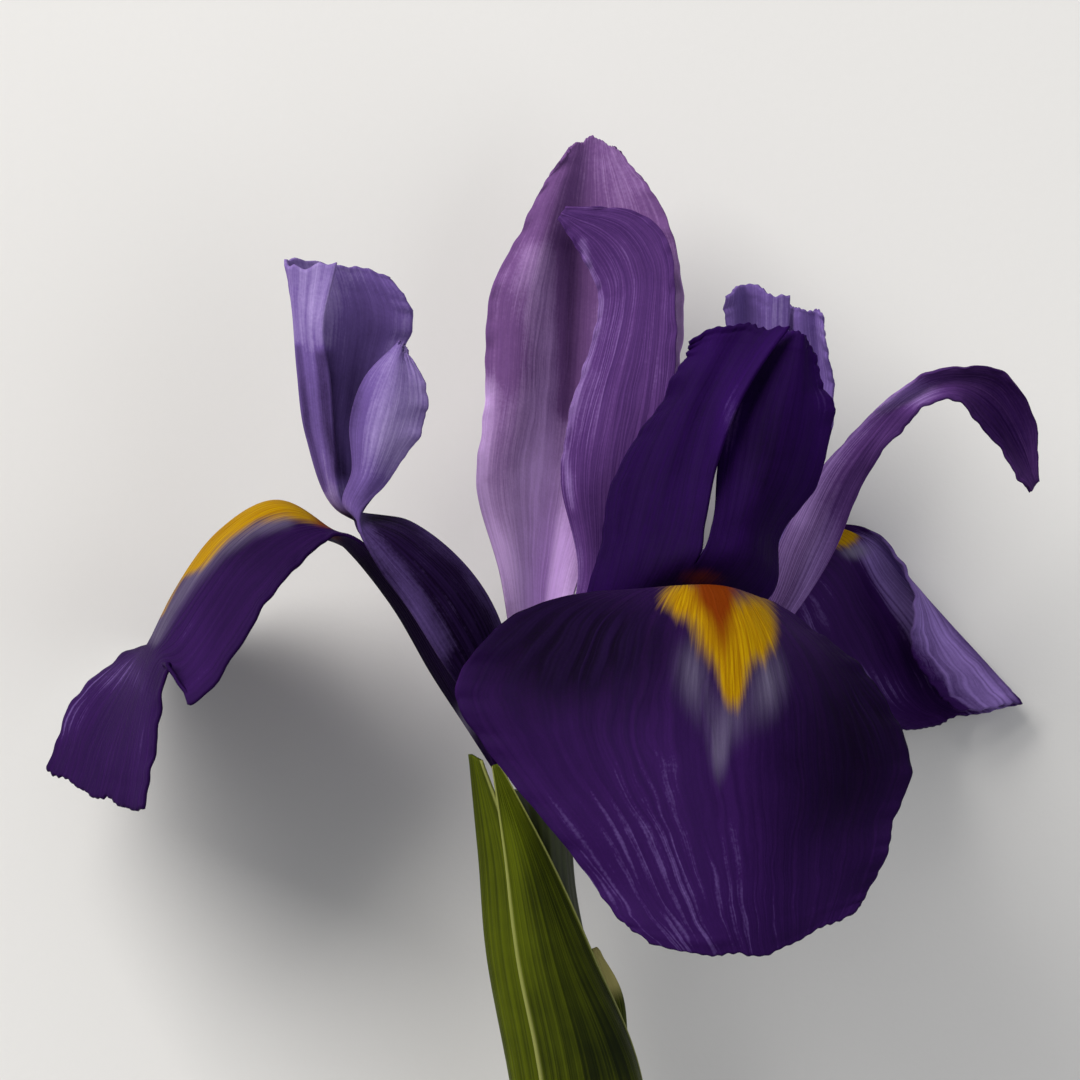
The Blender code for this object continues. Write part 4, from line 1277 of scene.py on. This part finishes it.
@dataclass
class StyleArms:
    """The three style arms, each over a fall and ending in two frilled crests."""

    lie: Lie
    rows: int = 130
    columns: int = 44
    # Both finishes stand for the arms' one violet: the front arm's dark finish is it darkened as painted
    # shade, the lilac one it made paler as painted light.
    dark: PetalFinish = PetalFinish(
        "style_dark", (0.0025, 0.0002, 0.008), (0.019, 0.0022, 0.064), (0.15, 0.080, 0.29),
        main_veins=7.0, fine_veins=26.0, vein_depth=0.08,
    )
    lilac: PetalFinish = PetalFinish(
        "style_lilac", (0.004, 0.0004, 0.011), (0.14, 0.085, 0.28), (0.52, 0.41, 0.74),
        main_veins=7.0, fine_veins=24.0, vein_depth=0.07, vein_colour=(0.08, 0.035, 0.20), vein_stain=0.15,
    )

    def build(self) -> list[bpy.types.Object]:
        """Build the style arms."""
        dark = stock(self.dark, self.lie)
        lilac = stock(self.lilac, self.lie)
        shared = {"rows": self.rows, "columns": self.columns, "ruffle": Waves(0.4, 7, 0.5, 0.55, 0.6)}
        front = Sheet(
            "front_style", "style_front", *dark, STYLE_FRONT, **shared, split=3 / 8, tone=0.28, fringe=0.8,
            crimp=Waves(0.2, 23, 0, 0.6, 0.8), pleat=Waves(0.2, 3, 0, 0.5),
            # Painted light makes the crests' margins and pleats that face the light paler; painted shade
            # darkens the slit between the crests and the arm below them.
            tone_and_painted_light=(
                Patch(11, 36, 4, 9, -0.04), Band(((29, 55), (24.4, 49.6), (21.4, 41)), 1.5, 0.2),
                Patch(18.5, 53.5, 4, 3, 0.2), Patch(33, 46, 2.4, 8, 0.26), Patch(22, 45, 1.6, 5, 0.16),
                Patch(26, 40, 2.4, 8, -0.16), Patch(17, 27, 9, 3, -0.12),
            ),
            oranges=(Patch(18.5, 25.6, 3.6, 1.6, 0.6),),
        )
        left = Sheet(
            "left_style", "style_left", *lilac, STYLE_LEFT, **shared, split=5 / 9, tone=0.6, fringe=1.0,
            crimp=Waves(0.18, 21, 1, 0.6, 0.8), pleat=Waves(0.15, 3, 0.6, 0.6),
            # The arm is darkened, partly its own deeper violet and partly painted shade; a painted highlight
            # runs along its near edge, and on the crests painted light and shade mark the folded flap and the
            # darker strips under it.
            tone_and_painted_light=(
                Band(((-20, 30), (-13, 24), (-5, 10)), 6, -0.75),
                Band(((-23.5, 33), (-17, 26), (-12, 17.5)), 1.6, 0.3), Patch(-21.5, 56, 4, 8, -0.16),
                Patch(-27, 58, 2.4, 5, 0.16), Patch(-28.5, 46, 2, 9, -0.1),
                Band(((-29.4, 53), (-28.2, 43), (-26.4, 36.5)), 0.5, -0.28),
                Band(((-26.6, 52), (-26, 44), (-24.6, 38)), 0.9, -0.4), Patch(-23, 46, 1.6, 6, -0.28),
                Patch(-25.6, 34, 1.8, 3, 0.3), Patch(-18, 44, 3.2, 7, 0.18),
            ),
        )
        right = Sheet(
            "right_style", "style_right", *lilac, STYLE_RIGHT, **shared, split=4 / 8, tone=0.52, fringe=0.5,
            crimp=Waves(0.2, 23, 2, 0.6, 0.8), pleat=Waves(0.8, 3, 0, 0.5),
            # Painted shade darkens the arm low down, towards the heart, where it lies under the other petals.
            tone_and_painted_light=(Patch(8, 15, 12, 12, -0.6),),
        )
        return [sheet.build() for sheet in (front, left, right)]


@dataclass
class Stamens:
    """The three stamens, hidden between the falls and the style arms."""

    lie: Lie
    filament_radius: float = 0.4
    anther_radius: float = 0.85
    anther_length: float = 8.0
    anther_shape: Line = ((0.12, 0.7), (0.3, 1.0), (0.6, 1.0), (0.85, 0.8), (1.0, 0.3))
    finish: PollenFinish = PollenFinish("stamen_cream", (0.62, 0.56, 0.46), (0.66, 0.50, 0.22))
    paths: tuple[tuple[str, Rail], ...] = (
        ("front", ((1.4, 0.7, 3.0), (5.6, 8.7, 8.7), (10.7, 16.4, 14.7))),
        ("left", ((-3.3, 0.7, -0.3), (-7.3, 8.2, 0.0), (-11.6, 15.6, 0.0))),
        ("right", ((1.9, 0.7, -2.7), (6.9, 8.4, -7.7), (13.0, 16.8, -12.6))),
    )

    def build(self) -> list[bpy.types.Object]:
        """Build the stamens."""
        cream = stock(self.finish, self.lie)
        made = []
        for side, points in self.paths:
            filament = along_spline(np.array(points), np.linspace(0.0, 1.0, 6))
            start = Vector(points[-1])
            tip = start + (start - Vector(points[-2])).normalized() * self.anther_length
            path = [tuple(point) for point in filament]
            radii = [self.filament_radius] * len(path)
            for share, width in self.anther_shape:
                path.append(tuple(start.lerp(tip, share)))
                radii.append(self.anther_radius * width)
            stalk = Stalk(
                f"{side}_stamen", f"stamen_{side}", *cream, tuple(path), tuple(radii),
                rings=60, sides=24, groove=0.16, grooves=2, dusty_from=0.55,
            )
            made.append(stalk.build())
        return made


@dataclass
class Greens:
    """The stem, the flower tube and the sheathing leaves."""

    lie: Lie
    stem_path: Rail = ((5, -46, 0), (6.6, -62, 0), (9, -88, 0), (11, -120, 0), (12, -150, 0))
    stem_radius: float = 4.0
    tube_path: Rail = ((4.8, -45.7, 0), (3.9, -36, 0), (2.4, -24, 0), (0.8, -12, 0), (0, -4, 0), (0, 0, 0))
    tube_radii: tuple[float, ...] = (3.6, 4.1, 3.7, 3.0, 3.6, 5.3)
    stem_finish: StalkFinish = StalkFinish(
        "stem_green", (0.030, 0.050, 0.006), (0.11, 0.16, 0.025), (0.36, 0.40, 0.20)
    )
    # The tube's greens are kept far darker than the stem's: painted shade for the shadow it sits in between
    # the spathe and the falls.
    tube_finish: StalkFinish = StalkFinish(
        "tube_green", (0.005, 0.007, 0.001), (0.022, 0.030, 0.003), (0.30, 0.30, 0.15)
    )
    leaf_finish: LeafFinish = LeafFinish(
        "spathe_green", (0.005, 0.008, 0.0002), (0.10, 0.125, 0.003), (0.36, 0.37, 0.11)
    )

    def tube(self, material: bpy.types.Material | None = None) -> Stalk:
        """The tube on the ovary; its material isn't needed to find where it lies."""
        lies = (self.tube_finish.name, self.lie, material)
        return Stalk("flower_tube", "tube", *lies, self.tube_path, self.tube_radii, groove=0.1)

    def build(self) -> list[bpy.types.Object]:
        """Build the green parts."""
        leaf = stock(self.leaf_finish, self.lie)
        shared = {"thickness": 0.4, "ribs": Waves(0.05, 9, 0, 0), "nibble": 0.05}
        outer = Sheet(
            "outer_spathe", "spathe_outer", *leaf, (SPATHE_OUTER,), 150, 70, **shared, tone=0.35,
            # A painted highlight runs along the ridge of the valve; a darker patch lies lower on its right
            # side.
            tone_and_painted_light=(Patch(-4, -15, 2, 25, 0.3), Patch(8, -30, 4, 10, -0.2)),
        )
        inner = Sheet("inner_spathe", "spathe_inner", *leaf, (SPATHE_INNER,), 150, 70, **shared, tone=0.5)
        tip = Sheet(
            "papery_spathe", "spathe_tip", *leaf, (SPATHE_TIP,), 80, 40, tone=0.4,
            thickness=0.35, ribs=Waves(0.05, 8, 0, 0), nibble=0.1, whites=(Patch(7.5, -20.5, 4, 5, 1),),
        )
        radii = (self.stem_radius,) * len(self.stem_path)
        green = stock(self.stem_finish, self.lie)
        stem = Stalk("stem_stalk", "stem", *green, self.stem_path, radii, rings=160)
        tube = self.tube(self.tube_finish.build())
        return [piece.build() for piece in (outer, inner, tip, stem, tube)]


def write_sizes() -> None:
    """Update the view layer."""
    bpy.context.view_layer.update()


def main() -> None:
    """Lay the flower's frame down, build each part and set up the studio."""
    logging.basicConfig(level=logging.INFO, format="%(message)s")
    lie = Lie(LIE_BACK_DEG, LIE_ROLL_DEG)
    lie.settle(Greens(lie).tube().surface(), "tube")
    for part in (Falls(lie), Standards(lie), StyleArms(lie), Stamens(lie), Greens(lie)):
        for piece in part.build():
            LOG.info("%s: %d vertices", piece.name, len(piece.data.vertices))
    Studio(lie).build()
    write_sizes()


if __name__ == "__main__":
    main()
